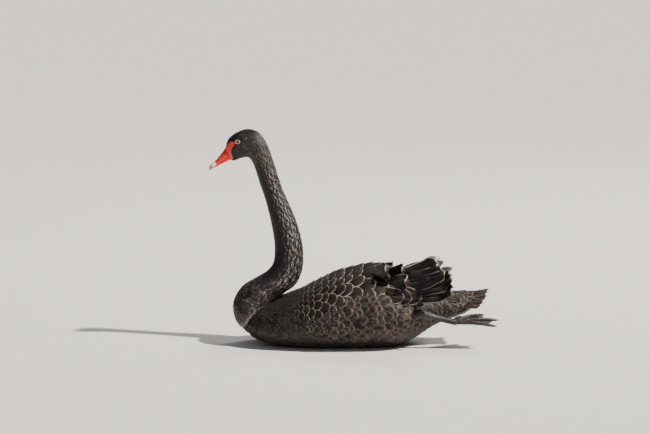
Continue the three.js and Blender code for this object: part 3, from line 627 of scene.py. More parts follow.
def claw_material():
    """Claws: hard dark keratin, polished by wear and streaked with a paler grain."""
    material, add = new_material("claw_horn", Roughness=0.3, IOR=1.54)
    place = add("TexCoord", output="Object")
    grain = add("TexNoise", {"Vector": place, "Scale": 300.0, "Detail": 2.0, "Roughness": 0.55})
    return finished(material, add("Mix", {0: grain, 6: "#171314", 7: "#453b3a"}, **BLEND))


# Skin

EYE_AT = (-262, 20.2, 503)
skin_depth = profile([(0, 0.9), (4, 1.4), (8, 2.2), (12, 2.8), (NECK_END, 3.2)])
BODY_DEPTH = 3.5
FUSED_WITHIN = 3.0


def eye_centre(side):
    return np.array(EYE_AT) * [1, side, 1]


def skin_piece(material):
    """One closed skin: the neck, torso and wings as lofts, fused by a fine remesh and smoothed.

    The torso's rings stand closer at its ends, by a share of half a cosine wave.
    """
    angle = np.linspace(0, TURN, 72, endpoint=False)[None]
    places = np.linspace(0, NECK_END, 150)[:, None]
    neck = neck_surface(places, angle, -skin_depth(places))
    share = np.linspace(0, 1, 130)[:, None]
    eased = 0.6 * share + 0.4 * (1 - np.cos(np.pi * share)) / 2
    x = TORSO_FRONT + BODY_DEPTH + (TORSO_BACK - TORSO_FRONT - 2 * BODY_DEPTH) * eased
    torso = torso_surface(x, angle, -BODY_DEPTH)
    forms = [neck, torso] + [wing_core(side) for side in SIDES]
    piece = closed_piece("skin", *joined([closed_grid(form) for form in forms]), material)
    remesh = piece.modifiers.new("fuse", "REMESH")
    remesh.mode = "VOXEL"
    remesh.voxel_size = FUSED_WITHIN * MILLIMETRE
    remesh.use_smooth_shade = True
    smooth = piece.modifiers.new("smooth", "SMOOTH")
    smooth.factor = 0.5
    smooth.iterations = 4
    piece = applied(piece)
    points = np.empty(len(piece.data.vertices) * 3, dtype=np.float32)
    piece.data.vertices.foreach_get("co", points)
    points[2::3] = np.maximum(points[2::3], SKIN_CLEARANCE * MILLIMETRE)
    piece.data.vertices.foreach_set("co", points)
    piece.data.update()
    return piece


def wing_core(side):
    """The folded wing under its feathers: the outer surface and a straight inner wall."""
    x = np.linspace(WING_FROM, WING_TO, 70)[:, None]
    share = np.linspace(0, 1, 30)[None]
    low = wing_low(x)
    outer = wing_surfaces[side](x, low + (89 - low) * share, -BODY_DEPTH)
    top = torso_surface(x, np.full((1, 1), np.pi / 2), -30)[..., 2]
    waist = torso_surface(x, np.zeros((1, 1)))[..., 2] + 8
    inner = np.concatenate([
        stack(x, np.full_like(x, side * 3.0), top),
        stack(x, side * torso_half_width(x) * 0.7, waist),
    ], axis=1)
    return np.concatenate([outer, inner], axis=1)


def applied(piece):
    """Replaces a piece's mesh by its mesh with the modifiers in it."""
    graph = bpy.context.evaluated_depsgraph_get()
    finished = bpy.data.meshes.new_from_object(piece.evaluated_get(graph))
    piece.modifiers.clear()
    piece.data = finished
    return piece


# Bill, face and eyes

BILL_STATIONS = [
    (-271, 462, -287, 500, 17), (-283, 456, -294, 484, 16), (-297, 449, -303, 471, 15),
    (-309, 443, -314.5, 457, 14.5), (-318, 438, -323.5, 449, 14), (-326, 434, -330.4, 440.5, 11),
    (-331, 430.5, -333, 433.5, 5.5),
]
MOUTH = 0.27
BILL_TIP = (-332, 0, 431.2)
BILL_ROOT = (-277, 0, 484)
BILL_OVER = (-352, 0, 452)
NAIL_PLACE = 4.35
NOSTRIL = (-302, 0, 462.5)
NOSTRIL_FRONT = (-312, 0, 453)
NOSTRIL_OVER = (-311.5, 0, 472.5)
NOSTRIL_HALVES = ((NOSTRIL_FRONT, 2.6), (NOSTRIL_OVER, 0.9))


def bill_section(place):
    row = through(BILL_STATIONS, place)
    front = stack(row[..., 0], 0, row[..., 1])
    up = stack(row[..., 2], 0, row[..., 3]) - front
    return front + MOUTH * up, up, row[..., 4]


def upper_bill_surface(place, angle, grow=0.0):
    """The upper half bill: angle 0 to half a turn goes from the right rim over the ridge to the left rim.

    The other half turn closes it beneath as a shallow hollow. The sides fall steeply and flare at the rim.
    """
    middle, up, half = bill_section(place)
    rise = np.sin(angle)
    level = np.where(rise > 0, (1 - MOUTH) * np.abs(rise) ** 0.85, 0.06 * np.abs(rise))
    side = np.sign(np.cos(angle)) * np.abs(np.cos(angle)) ** 0.75
    narrowed = half * (1 - 0.28 * np.clip(rise, 0, 1) ** 2) + grow
    grown = grow / np.maximum(np.linalg.norm(up, axis=-1), 1e-6)
    return middle + up * (level + grown * (rise > 0) * rise)[..., None] + stack(0, narrowed * side, 0)


def lower_bill_surface(place, angle):
    """The lower half bill: a shallow trough upside down, closed above just under the upper half."""
    middle, up, half = bill_section(place)
    drop = np.sin(angle)
    level = np.where(drop > 0, -MOUTH * np.abs(drop) ** 0.8, 0.02 * np.abs(drop)) - 0.012
    side = np.sign(np.cos(angle)) * np.abs(np.cos(angle)) ** 0.7
    return middle + up * level[..., None] + stack(0, half * 0.93 * side, 0)


def bill_pieces(material, nail):
    """The two halves of the bill and its nail, each with its slot and the node that it stands for."""
    angle = np.linspace(0, TURN, 72, endpoint=False)[None]
    end = len(BILL_STATIONS) - 1
    upper = upper_bill_surface(np.linspace(0, NAIL_PLACE, 90)[:, None], angle)
    off = upper - np.array(NOSTRIL)
    along = off @ unit(np.subtract(NOSTRIL_FRONT, NOSTRIL)) / 3.2
    across = off @ unit(np.subtract(NOSTRIL_OVER, NOSTRIL)) / 1.5
    ring = np.sqrt(along ** 2 + across ** 2)
    on_side = np.sin(angle) > 0
    pit = np.where(on_side, 2.6 * np.exp(-ring ** 3), 0)
    lip = np.where(on_side, 0.5 * np.exp(-((ring - 1.5) / 0.45) ** 2), 0)
    upper[..., 1] -= np.sign(upper[..., 1]) * (pit - lip)
    lower = lower_bill_surface(np.linspace(0, end, 90)[:, None], angle)
    places = np.linspace(NAIL_PLACE, end, 36)
    swell = 0.9 * np.sin(np.pi * np.clip((places - NAIL_PLACE) / (end - NAIL_PLACE), 0, 1)) ** 0.5
    tip = upper_bill_surface(places[:, None], angle, swell[:, None])
    return [
        (closed_piece("bill_upper_horn", *closed_grid(upper), material), "bill", "bill_upper"),
        (closed_piece("bill_lower_horn", *closed_grid(lower), material), "bill", "bill_lower"),
        (closed_piece("bill_tip_nail", *closed_grid(tip), nail), "nail", "bill_nail"),
    ]


# The red bare skin from the bill to the eye: upper and lower borders as x, z pairs from the bill back.
LORE_UPPER = [
    (-290.5, 486.5), (-289.5, 490), (-287.5, 494.5), (-282.5, 499.6), (-277.3, 502.6), (-271.5, 501.5),
    (-268.2, 499.6),
]
LORE_LOWER = [
    (-281, 455.5), (-274, 458.5), (-273.6, 466), (-277.2, 473), (-277.6, 481), (-275.4, 488.7),
    (-268.6, 498.2),
]


def face_depth():
    """Points of the head's side, close together, to look up how far out it lies at a given x and z."""
    place, angle = np.meshgrid(np.linspace(0, 7, 420), np.linspace(-np.pi / 2, np.pi / 2, 420),
                               indexing="ij")
    return neck_surface(place.ravel(), angle.ravel())


def on_face(samples, x, z):
    """How far out the face lies at each x and z, from the nearest of the close points."""
    found = np.empty(x.shape)
    for row in range(x.shape[0]):
        far = (samples[None, :, 0] - x[row][:, None]) ** 2 + (samples[None, :, 2] - z[row][:, None]) ** 2
        found[row] = samples[np.argmin(far, axis=1), 1]
    return found


def lore_piece(side, material, samples):
    """The bare skin as a thin cushion: across from its lower to its upper border, highest in the middle."""
    a = np.linspace(0, len(LORE_UPPER) - 1, 44)
    b = np.linspace(0, 1, 18)
    upper, lower = through(LORE_UPPER, a), through(LORE_LOWER, a)
    flat = lower[:, None] * (1 - b)[None, :, None] + upper[:, None] * b[None, :, None]
    y = smoothed(on_face(samples, flat[..., 0], flat[..., 1]), 3)
    swell = np.sqrt(np.clip(4 * b * (1 - b), 0, 1))[None] * np.ones_like(y)
    ends = np.minimum(1, np.minimum(a, a[-1] - a) * 2.5 + 0.12)[:, None]
    outer = stack(flat[..., 0], side * (y + swell * ends - 0.15), flat[..., 1])
    inner = stack(flat[..., 0], side * (y - 2.5), flat[..., 1])[:, ::-1]
    return closed_piece("lore_" + SIDE_NAMES[side],
                        *closed_grid(np.concatenate([outer, inner], axis=1)), material)


def smoothed(grid, times):
    """A grid of values averaged with its neighbours a few times."""
    for _ in range(times):
        padded = np.pad(grid, 1, mode="edge")
        grid = (padded[:-2, 1:-1] + padded[2:, 1:-1] + padded[1:-1, :-2] + padded[1:-1, 2:] + 2 * grid) / 6
    return grid


EYE_RADIUS = 5.6
LID_OUTER, LID_INNER = 5.9, 4.5


def eye_pieces(side, eye, lid):
    """A ball for the eye, and lids as a ring whose section is a half ellipse, wider at the corners."""
    polar = np.linspace(0.02, np.pi - 0.02, 40)[:, None]
    angle = np.linspace(0, TURN, 56, endpoint=False)[None]
    centre = eye_centre(side)
    ball = stack(np.sin(polar) * np.cos(angle), side * np.cos(polar), np.sin(polar) * np.sin(angle))
    ball_piece = closed_piece("eye_ball_" + SIDE_NAMES[side], *closed_grid(centre + EYE_RADIUS * ball), eye)
    around = np.linspace(0, TURN, 64, endpoint=False)[:, None]
    section = np.linspace(0, TURN, 16, endpoint=False)[None]
    corner = 0.5 * np.cos(around) ** 6
    middle = (LID_OUTER + LID_INNER) / 2 + 0.2 * np.abs(np.cos(around))
    off = middle + ((LID_OUTER - LID_INNER) / 2 + corner) * np.cos(section)
    closing = 1 - 0.1 * np.abs(np.sin(around))
    out = EYE_RADIUS * 0.62 + 0.55 - 0.06 * (off - LID_INNER) ** 2 + 0.95 * np.sin(section)
    ring = centre + stack(off * np.cos(around), side * out, off * np.sin(around) * closing)
    numbers = np.arange(ring.shape[0] * ring.shape[1]).reshape(ring.shape[:2])
    numbers = np.pad(numbers, ((0, 1), (0, 1)), mode="wrap")
    lid_piece = closed_piece("eye_lid_" + SIDE_NAMES[side], ring.reshape(-1, 3), quads_of(numbers), lid)
    return ball_piece, lid_piece


# Coat

def bare_face(points, margin):
    """Whether points lie on the bill or the bare red skin, seen from the side, or over the eye."""
    x, z = points[:, 0], points[:, 2]
    outline = np.array(LORE_LOWER + LORE_UPPER[::-1])
    outline = np.concatenate([outline, [(-340, 470), (-340, 425)]])
    middle = np.array([-283, 482])
    grown = outline + unit(outline - middle) * margin
    inside = np.zeros(len(points), bool)
    for (x0, z0), (x1, z1) in zip(grown, np.roll(grown, -1, axis=0)):
        crosses = (z0 > z) != (z1 > z)
        inside ^= crosses & (x < (x1 - x0) * (z - z0) / (z1 - z0 + 1e-12) + x0)
    eye = np.hypot(x - EYE_AT[0], z - EYE_AT[2]) < LID_OUTER - 0.2 + margin * 0.3
    return inside | eye


neck_places = np.linspace(0, NECK_END, 400)
neck_steps = np.linalg.norm(np.diff(neck_rings(neck_places)[0], axis=0), axis=1)
neck_lengths = np.concatenate([[0], np.cumsum(neck_steps)])


def furrows(place, around):
    """How high the neck's plumage stands from 0 to 1: kinked ridges along it, broken into short waves."""
    far = np.interp(place, neck_places, neck_lengths)
    kinked = 21 * around + 1.7 * np.sin(far / 7 + 3 * around) + 0.8 * np.sin(far / 3.4 - 5 * around)
    ridge = smoothstep(0.3, 0.85, 0.5 + 0.5 * np.sin(kinked))
    wave = smoothstep(0.05, 0.7, 0.5 + 0.5 * np.sin(far / 3.2 + 11 * around + 1.5 * np.sin(4 * around)))
    return ridge * (0.25 + 0.75 * wave)


def constant(value):
    """A curve that is level."""
    return lambda place: np.full(np.shape(place), value)


def varied(draw, shape, spread):
    """Random factors about 1, with the given spread from the least to the greatest."""
    return 1 - spread / 2 + spread * draw.random(shape)


# Where each coat begins and ends, by stations of the neck or by x on the torso, and its feathers' steps
# between rows, spacing in a row, length, width and lift at the tip in millimetres.
NECK_COATS = {
    "coat_head": {
        "from": 0.15, "to": 8.2, "step": 2.3, "spacing": 2.0, "length": 5.6, "width": 2.5, "lift": 0.5,
        "rough_up": profile([(0, 0.0), (3, 0.1), (5.5, 0.4), (7, 1.0)]),
    },
    "coat_neck": {
        "from": 8.0, "to": 16.2, "step": 4.0, "spacing": 3.0, "length": 10.5, "width": 4.0, "lift": 1.5,
        "rough_up": constant(1.0),
    },
    "coat_neck_foot": {
        "from": 16.0, "to": NECK_END, "step": 5.0, "spacing": 4.6, "length": 14.0, "width": 6.6,
        "lift": 1.0, "rough_up": constant(0.3),
    },
}
TORSO_COATS = {
    "coat_breast": {
        "from": TORSO_FRONT + 2, "to": -90, "step": 6.5, "spacing": 6.6, "length": 17.0, "width": 8.5,
        "lift": 2.2, "look": "contour_feather", "bare_flanks": False,
    },
    "coat_body": {
        "from": -96, "to": 176, "step": 9.5, "spacing": 10.0, "length": 26.0, "width": 14.0,
        "lift": 2.6, "look": "contour_feather", "bare_flanks": True,
    },
    "coat_rump": {
        "from": 164, "to": 300, "step": 12.0, "spacing": 14.0, "length": 32.0, "width": 21.0,
        "lift": 1.8, "look": "rump_feather", "bare_flanks": False,
    },
}
BELLY_LINE = -0.5 * np.pi
# How wide a feather's patch is on the bake's map.
SMALL_PATCH, COVERT_PATCH = 0.003, 0.012


def neck_coat(name, coat, form, material, seed):
    """Small feathers of the head and neck in staggered rows, kinked into rough ridges on back and sides,
    whose raised ridges are tinted paler as a painted highlight.
    """
    draw = np.random.default_rng(seed)
    low, high = coat["from"], coat["to"]
    rows = [low]
    while rows[-1] < high:
        here = float(rows[-1])
        speed = np.linalg.norm(neck_rings(here + 0.05)[0] - neck_rings(here)[0]) / 0.05
        rows.append(here + coat["step"] / max(speed, 4.0))
    place, around = staggered(neck_surface, rows, constant(coat["spacing"]), constant(0.0), constant(TURN),
                              draw)
    count = len(place)
    size = coat["length"] * varied(draw, count, 0.3)
    back = smoothstep(-0.55, 0.35, np.sin(around)) * coat["rough_up"](place)
    height = furrows(place, around)
    raised = coat["lift"] * (0.3 + 0.5 * draw.random(count) + 1.5 * back * height)
    skew = 0.2 * (draw.random(count) - 0.5) + 0.35 * back * (height - 0.4)
    sunk = skin_depth(place) * 0.7 - 0.9 * back * height
    root, middle, tip, out = laid(neck_surface, (0.02, 0.02), place, around, size, raised, sunk, skew)
    chosen = ~inside_torso(root, -2.0) & ~inside_torso(tip, 0.5)
    chosen &= ~bare_face(root, 1.2) & ~bare_face(tip, 0.6)
    width = coat["width"] * varied(draw, count, 0.3)
    lying = (values[chosen] for values in (root, middle, tip, out, width))
    points = laid_points(form, *lying, rounded, 3, 0.25, 0.35)
    bake = np.stack([(place - low) / (high - low) * 0.98 + 0.01, around / TURN], axis=-1)
    # Painted sheen: the cheeks and crown, and the foot of the neck, tinted paler in random patches; at the
    # foot of the neck partly its own light mottling.
    pale = 0.5 * smoothstep(1.5, 3.5, place) * (1 - smoothstep(6.5, 8.5, place))
    pale += 0.5 * smoothstep(15.5, 17.5, place)
    patchy = 0.5 + 0.5 * np.sin(place * 4.1 + 2 * np.sin(around * 3)) * np.sin(around * 5 + place)
    # Painted highlight: back * height tints the raised ridges on the nape and sides paler, so the throat
    # stays darker.
    tint = draw.random(count) * (0.16 + pale * patchy) + back * height
    beside_torso = inside_torso(tip, -11.0) & (np.abs(tip[:, 1]) > 20)
    tint = np.clip(np.where(beside_torso, 1.0, tint), 0, 1)
    return feather_object(name, form, points, bake[chosen], SMALL_PATCH, tint[chosen], material)


def torso_coat(name, coat, form, material, seed):
    """Body feathers of the torso in staggered rows from the front backwards, all the way round."""
    draw = np.random.default_rng(seed)
    low, high = coat["from"], coat["to"]
    rows = [low]
    while rows[-1] < high:
        rows.append(rows[-1] + coat["step"])
    place, around = staggered(torso_surface, rows, constant(coat["spacing"]), constant(BELLY_LINE),
                              constant(BELLY_LINE + TURN), draw, 0.16)
    count = len(place)
    size = coat["length"] * varied(draw, count, 0.3)
    raised = coat["lift"] * (0.5 + draw.random(count))
    skew = 0.2 * (draw.random(count) - 0.5)
    root, middle, tip, out = laid(torso_surface, (1.0, 0.02), place, around, size, raised, 2.0, skew)
    chosen = (tip[:, 0] < TORSO_BACK + 6) & (root[:, 2] > -1)
    chosen &= ~inside_neck(root, 2) & ~inside_neck(tip, 0)
    if coat["bare_flanks"]:
        chosen &= off_flanks(place, around)
    width = coat["width"] * varied(draw, count, 0.3)
    lying = (values[chosen] for values in (root, middle, tip, out, width))
    points = laid_points(form, *lying, rounded, 3, 0.2, 0.4)
    bake = np.stack([(place - low) / (high - low) * 0.98 + 0.01, (around - BELLY_LINE) / TURN], axis=-1)
    tint = 0.8 * draw.random(count)
    return feather_object(name, form, points, bake[chosen], SMALL_PATCH, tint[chosen], material)


# How far apart the scalloped coverts stand along the wing, from the shoulder to the last row. Their
# spacing, length and width are in steps of their row.
covert_step = profile([(-150, 8.5), (-110, 11.5), (-60, 16), (-10, 21), (50, 25.5), (110, 26.5)])
COVERT_SPACING, COVERT_LENGTH, COVERT_WIDTH = 1.6, 2.4, 2.25
LAST_COVERTS_FROM = 92
# Coverts on the closing end of the wing whose faces turn backwards by more than this are left out.
TURNED_BACK = 0.4


def wing_coverts(side, form, material):
    """Scalloped coverts in rows, small on the shoulder and broad behind, with tips a little raised."""
    draw = np.random.default_rng(40 + side)
    surface = wing_surfaces[side]
    rows = [WING_FROM - 2.0]
    while rows[-1] < LAST_COVERTS_FROM:
        rows.append(rows[-1] + float(covert_step(rows[-1])))
    place, around = staggered(surface, rows, lambda row: COVERT_SPACING * covert_step(row),
                              lambda row: float(wing_low(row)) + 2, constant(88.0), draw, 0.16)
    count = len(place)
    step = covert_step(place)
    length = step * COVERT_LENGTH * varied(draw, count, 0.12)
    raised = 2.6 + 0.09 * step + 1.8 * draw.random(count)
    skew = 0.16 * (draw.random(count) - 0.5) - 0.05
    root, middle, tip, out = laid(surface, (1.0, 0.5), place, around, length, raised, 1.0, skew * side)
    chosen = ~inside_torso(tip, 1.0) & (tip[:, 1] * side > 0) & (out[:, 0] < TURNED_BACK)
    width = COVERT_WIDTH * step * varied(draw, count, 0.16)
    lying = (values[chosen] for values in (root, middle, tip, out, width))
    points = laid_points(form, *lying, rounded, 4.0, 0.22, 0.8)
    bake = np.stack([(place - WING_FROM + 10) / 330, around / 90 * 0.96 + 0.02], axis=-1)[chosen]
    tint = draw.random(count)[chosen]
    name = "wing_coverts_" + SIDE_NAMES[side]
    return feather_object(name, form, points, bake, COVERT_PATCH, tint, material)


# Open feathers of the folded wings. On both sides y is outwards in their roots, faces and headings.
# Rises, curls and strays are in degrees. The feathers of the right wing rise less by right_lower.
TERTIALS = {
    "face": [-0.1, 1, 0.45], "cup": 0.1, "wave": 5, "right_lower": 13, "thick": 0.9, "frill": 4.5, "tip": 7,
    "feathers": [
        {"root": [112, 40, 156], "rise": 14.5, "length": 124, "curl": 74, "out": -0.04, "width": 42},
        {"root": [114, 46, 150], "rise": 6, "length": 144, "curl": 66, "out": -0.06, "width": 42},
        {"root": [112, 58, 156], "rise": 23, "length": 148, "curl": 58, "out": 0.1, "width": 52},
        {"root": [112, 66, 152], "rise": 14, "length": 166, "curl": 70, "out": 0.16, "width": 52},
        {"root": [114, 72, 146], "rise": 7, "length": 190, "curl": 72, "out": 0.22, "width": 54},
        {"root": [116, 76, 141], "rise": -1, "length": 177, "curl": 66, "out": 0.2, "width": 54},
    ],
}
RUFFLES = {
    "face": [-0.1, 0.9, 0.45], "cup": 0.2, "wave": 4, "right_lower": 31, "thick": 0.9, "frill": 3.0, "tip": 4,
    "feathers": [
        {"root": [56, 78, 160], "rise": 30, "length": 98, "curl": 128, "out": 0.12, "width": 58},
        {"root": [90, 66, 162], "rise": 22, "length": 98, "curl": 128, "out": 0.1, "width": 50},
        {"root": [84, 92, 152], "rise": 11, "length": 104, "curl": 110, "out": 0.16, "width": 50},
    ],
}
SECONDARIES = {
    "face": [0.1, 1, 0.35], "cup": -0.14, "wave": 2, "right_lower": 0, "thick": 0.9, "frill": 1.2,
    "tip": 6,
    "feathers": [
        {"root": [98, 88, 155], "rise": -5, "length": 102, "curl": 24, "out": -0.1, "width": 44},
        {"root": [92, 98, 150], "rise": -14, "length": 98, "curl": 30, "out": -0.06, "width": 46},
        {"root": [72, 110, 148], "rise": -13, "length": 94, "curl": 34, "out": 0.04, "width": 46},
        {"root": [48, 116, 144], "rise": -4, "length": 98, "curl": 26, "out": 0.1, "width": 44},
    ],
}
PRIMARIES = {
    "face": [0, 0.45, 1], "cup": -0.14, "wave": 0, "right_lower": 0, "thick": 0.9,
    "feathers": [
        {"root": [104, 66, 146], "rise": -1, "length": 142, "curl": 4, "out": -0.2, "width": 24},
        {"root": [104, 58, 150], "rise": -1, "length": 134, "curl": 4, "out": -0.2, "width": 24},
        {"root": [104, 50, 153], "rise": -1, "length": 124, "curl": 4, "out": -0.18, "width": 24},
    ],
}
# White tips of inner primaries that show above the tertials and between them and the rump.
WHITE_TIPS = {
    "face": [-0.1, 1, 0.45], "cup": 0.1, "wave": 2, "right_lower": 10, "thick": 0.9, "frill": 1.5,
    "stray": 0,
    "feathers": [
        {"root": [120, 44, 160], "rise": 30.5, "length": 126, "curl": 24, "out": 0.02, "width": 28},
        {"root": [116, 84, 136], "rise": -6, "length": 92, "curl": 20, "out": -0.12, "width": 26},
    ],
}


# Each group with its material and its seed.
OPEN_GROUPS = {
    "primaries": (PRIMARIES, "white_flight_feather", 60),
    "white_tips": (WHITE_TIPS, "white_flight_feather", 61),
    "secondaries": (SECONDARIES, "secondary_feather", 63),
    "tertials": (TERTIALS, "flight_feather", 66),
    "ruffles": (RUFFLES, "flight_feather", 69),
}


def side_by_side(name, form, points, draw, material):
    """Large feathers, which are baked as strips side by side that fill their piece's own map."""
    count = len(points)
    bake = np.stack([(np.arange(count) + 0.5) / count, np.full(count, 0.5)], axis=-1)
    return feather_object(name, form, points, bake, (0.8 / count, 0.9), draw.random(count), material)


def open_piece(name, side, group, form, material, seed):
    """The open feathers of one group on one wing."""
    draw = np.random.default_rng(seed + side)
    points = np.stack([open_points(form, feather, side, group, draw) for feather in group["feathers"]])
    return side_by_side(name + "_" + SIDE_NAMES[side], form, points, draw, material)


TAIL_GROUP = {"cup": -0.14, "wave": 0.6, "right_lower": 0, "thick": 0.8, "frill": 0.5, "stray": 2}


TAIL_TIERS = {
    "tail_feathers": {
        "x": 268, "z": 124, "count": 14, "spacing": 4.5, "length": 86, "shorter": 0.45, "width": 27,
        "spread": 2.2, "drop": 0.36, "tilt": 0.13, "level": 1.6, "sag": 0.006, "tip": 8, "curl": 2,
    },
    "tail_feathers_lower": {
        "x": 266, "z": 114, "count": 11, "spacing": 5, "length": 80, "shorter": 0.6, "width": 27,
        "spread": 2.2, "drop": 0.3, "tilt": 0.16, "level": 0.8, "sag": 0.006, "tip": 8, "curl": 4,
    },
    "tail_coverts_upper": {
        "x": 236, "z": 130, "count": 9, "spacing": 8, "length": 64, "shorter": 0.9, "width": 27,
        "spread": 3, "drop": 0.6, "tilt": 0.03, "level": 0.6, "sag": 0.004, "tip": 6, "curl": 1,
    },
    "tail_coverts_under": {
        "x": 256, "z": 86, "count": 11, "spacing": 5.8, "length": 78, "shorter": 0.9, "width": 28,
        "spread": 1.8, "drop": -0.42, "tilt": 0.26, "level": 0.8, "sag": 0.0, "tip": 6, "curl": 16,
    },
    "tail_coverts_inner": {
        "x": 268, "z": 100, "count": 9, "spacing": 6, "length": 66, "shorter": 0.8, "width": 26,
        "spread": 2, "drop": -0.2, "tilt": 0.2, "level": 0.8, "sag": 0.0, "tip": 6, "curl": 8,
    },
    "tail_filling_lower": {
        "x": 268, "z": 104, "count": 9, "spacing": 6, "length": 70, "shorter": 0.7, "width": 26,
        "spread": 2, "drop": -0.1, "tilt": 0.19, "level": 0.8, "sag": 0.0, "tip": 6, "curl": 7,
    },
    "tail_filling_upper": {
        "x": 268, "z": 108.5, "count": 9, "spacing": 6, "length": 73, "shorter": 0.7, "width": 26,
        "spread": 2, "drop": 0.05, "tilt": 0.18, "level": 0.8, "sag": 0.0, "tip": 6, "curl": 6,
    },
}


def tail_piece(name, tier, form, material, seed):
    """One tier of the tail, spread from the middle outwards, the outer feathers shorter and lower."""
    draw = np.random.default_rng(seed)
    points = []
    for k in range(tier["count"]):
        place = k - (tier["count"] - 1) / 2
        side = LEFT if place < 0 else RIGHT
        out = abs(place)
        height = tier["z"] - tier["drop"] * out ** 2 + (0 if side == LEFT else tier["level"])
        feather = {
            "root": [tier["x"], out * tier["spacing"], height],
            "rise": np.degrees(np.arctan(tier["tilt"] - tier["sag"] * out ** 2)),
            "out": np.sin(np.radians(out * tier["spread"])), "curl": tier["curl"],
            "length": tier["length"] - tier["shorter"] * out ** 2, "width": tier["width"],
        }
        group = {**TAIL_GROUP, "tip": tier["tip"], "face": [0, 0.11 * out, 1]}
        points.append(open_points(form, feather, side, group, draw))
    return side_by_side(name, form, np.stack(points), draw, material)


# Flanks of loose feathers, whose barbs part into strands

FLANK_ANGLES = {RIGHT: (-0.55, 0.78), LEFT: (np.pi - 0.78, np.pi + 0.55)}
FLANK_FROM, FLANK_TO = -112, 166
FLANK_STEP, FLANK_SPACING = 14.5, 19.0
FLANK_LENGTH, FLANK_WIDTH_SHARE = 43, 0.74
# A step of this length aside is taken as one radian around the body.
FLANK_RADIUS = 95.0
BARBS = 24
BARB_WIDTH = 1.2


def flank_roots(side, draw):
    """Roots of the flank feathers, fewer towards the front edge of the flank."""
    rows = np.arange(FLANK_FROM, FLANK_TO, FLANK_STEP)
    low, high = FLANK_ANGLES[side]
    place, around = staggered(torso_surface, rows, constant(FLANK_SPACING), constant(low), constant(high),
                              draw, 0.45)
    kept = draw.random(len(place)) < smoothstep(FLANK_FROM - 10, -50, place)
    return place[kept], around[kept]


def off_flanks(place, around):
    """Whether feathers of the body's coat stand clear of the flanks, whose own feathers cover them."""
    on_flank = np.zeros(np.shape(place), dtype=bool)
    for low, high in FLANK_ANGLES.values():
        on_flank |= (around > low + 0.12) & (around < high - 0.12)
    return ~(on_flank & (place > -45) & (place < FLANK_TO - 8))


def flank_fluff(side, vane_form, barb_form, vane_material, barb_material, seed):
    """Each flank feather is a soft vane, whose outer half ends in a fringe of loose barbs.

    The barbs start on the vane, not quite half its length from the root and spread across its width,
    fan out a little to the sides and reach past the rim, least at the sides.
    """
    draw = np.random.default_rng(seed + side)
    low, high = FLANK_ANGLES[side]
    place, around = flank_roots(side, draw)
    count = len(place)
    slope = 0.3 * (draw.random(count) - 0.5)
    reach = (0.6 + 0.4 * smoothstep(FLANK_FROM, -40, place)) * FLANK_LENGTH * varied(draw, count, 0.3)
    raised = 2.5 + 2.5 * draw.random(count)
    tint = draw.random(count)
    bake = np.stack([(place - FLANK_FROM + 8) / 300, (around - low) / (high - low)], axis=-1)
    lying = laid(torso_surface, (1.0, 0.02), place, around, reach, raised, 1.0, slope)
    vanes = laid_points(vane_form, *lying, reach * FLANK_WIDTH_SHARE, rounded, 4, 0.3, 0.5)
    name = SIDE_NAMES[side]
    under = feather_object("flank_vanes_" + name, vane_form, vanes, bake, SMALL_PATCH, tint, vane_material)
    shape = (count, BARBS)
    spread = np.linspace(-1, 1, BARBS) + 0.12 * (draw.random(shape) - 0.5)
    start = 0.45 - 0.15 * spread ** 2
    length = reach[:, None] * (0.62 - 0.16 * spread ** 2) * varied(draw, shape, 0.2)
    skew = 0.3 * spread + slope[:, None] + 0.12 * (draw.random(shape) - 0.5)
    lifted = raised[:, None] + 0.8 + 0.9 * draw.random(shape) - 1.2 * spread ** 2
    barb_place = place[:, None] + start * reach[:, None]
    aside = (slope[:, None] * start + 0.27 * spread) * reach[:, None]
    barb_around = around[:, None] + aside / FLANK_RADIUS
    lying = laid(torso_surface, (1.0, 0.02), barb_place.ravel(), barb_around.ravel(), length.ravel(),
                 lifted.ravel(), np.repeat(-0.4 * raised, BARBS), skew.ravel())
    width = BARB_WIDTH * varied(draw, count * BARBS, 0.6)
    barbs = laid_points(barb_form, *lying, width, pointed, 1.6, 0.1, 0.35)
    shade = np.clip(np.repeat(tint, BARBS) * 0.6 + draw.random(count * BARBS) * 0.4, 0, 1)
    over = feather_object("flank_barbs_" + name, barb_form, barbs, np.repeat(bake, BARBS, axis=0),
                          SMALL_PATCH, shade, barb_material)
    return under, over


# Legs and feet

# Thigh and shank of each leg, as stations of x, y, z and radius.
LEGS = {
    "leg_left": (
        [(130, -86, 76, 17), (160, -89, 83, 14), (184, -92, 90, 10.5)],
        [(184, -92, 90, 9.5), (200, -91, 86, 7.6), (232, -88, 76.5, 6.6), (258, -85, 70, 7),
         (270, -84, 67.5, 7.4)],
    ),
    "leg_right": (
        [(132, 86, 66, 17), (155, 95, 42, 14), (173, 103, 20, 11)],
        [(173, 103, 18, 9.5), (157, 105, 13, 8), (125, 107, 8.5, 6.6), (100, 108, 7.2, 6.8),
         (88, 108, 7.0, 6.6)],
    ),
}
# Place of each foot, its roll and turn in radians, the spread of its side toes in degrees, and how far
# the toes arch and the web sags.
FEET = {
    "foot_left": {"at": (268, -84, 68), "roll": 0.3, "turn": 0.23, "spread": 25, "arch": 5, "sag": -3},
    "foot_right": {"at": (90, 108, 6.2), "roll": 0.0, "turn": np.pi, "spread": 9, "arch": -1.5, "sag": 2},
}
HEEL_JOINT_RADII = (12, 10.5, 11)
HEEL_RADII = (8.5, 8, 7)
SCUTE_STEP = 3.4
MIDDLE_TOE = 112
HIND_TOE = [(-6, 3, 1, 3.4), (3, 7, 7, 3), (14, 9, 10, 2.2), (21, 10, 9, 0.9)]
TOE_RADII = [(0, 6.4), (0.3, 5.6), (0.6, 4.6), (0.86, 3.6), (1, 0.9)]
# Places along a toe, as shares of its length.
TOE_JOINTS = [0.24, 0.52, 0.76]
TOE_ENDS = 0.93
CLAW_FROM, CLAW_TO = 0.89, 0.988
WEB_FROM, WEB_LONG = 0.06, 0.82
CLAW_RADIUS = 2.7
WEB_HALF = 0.7


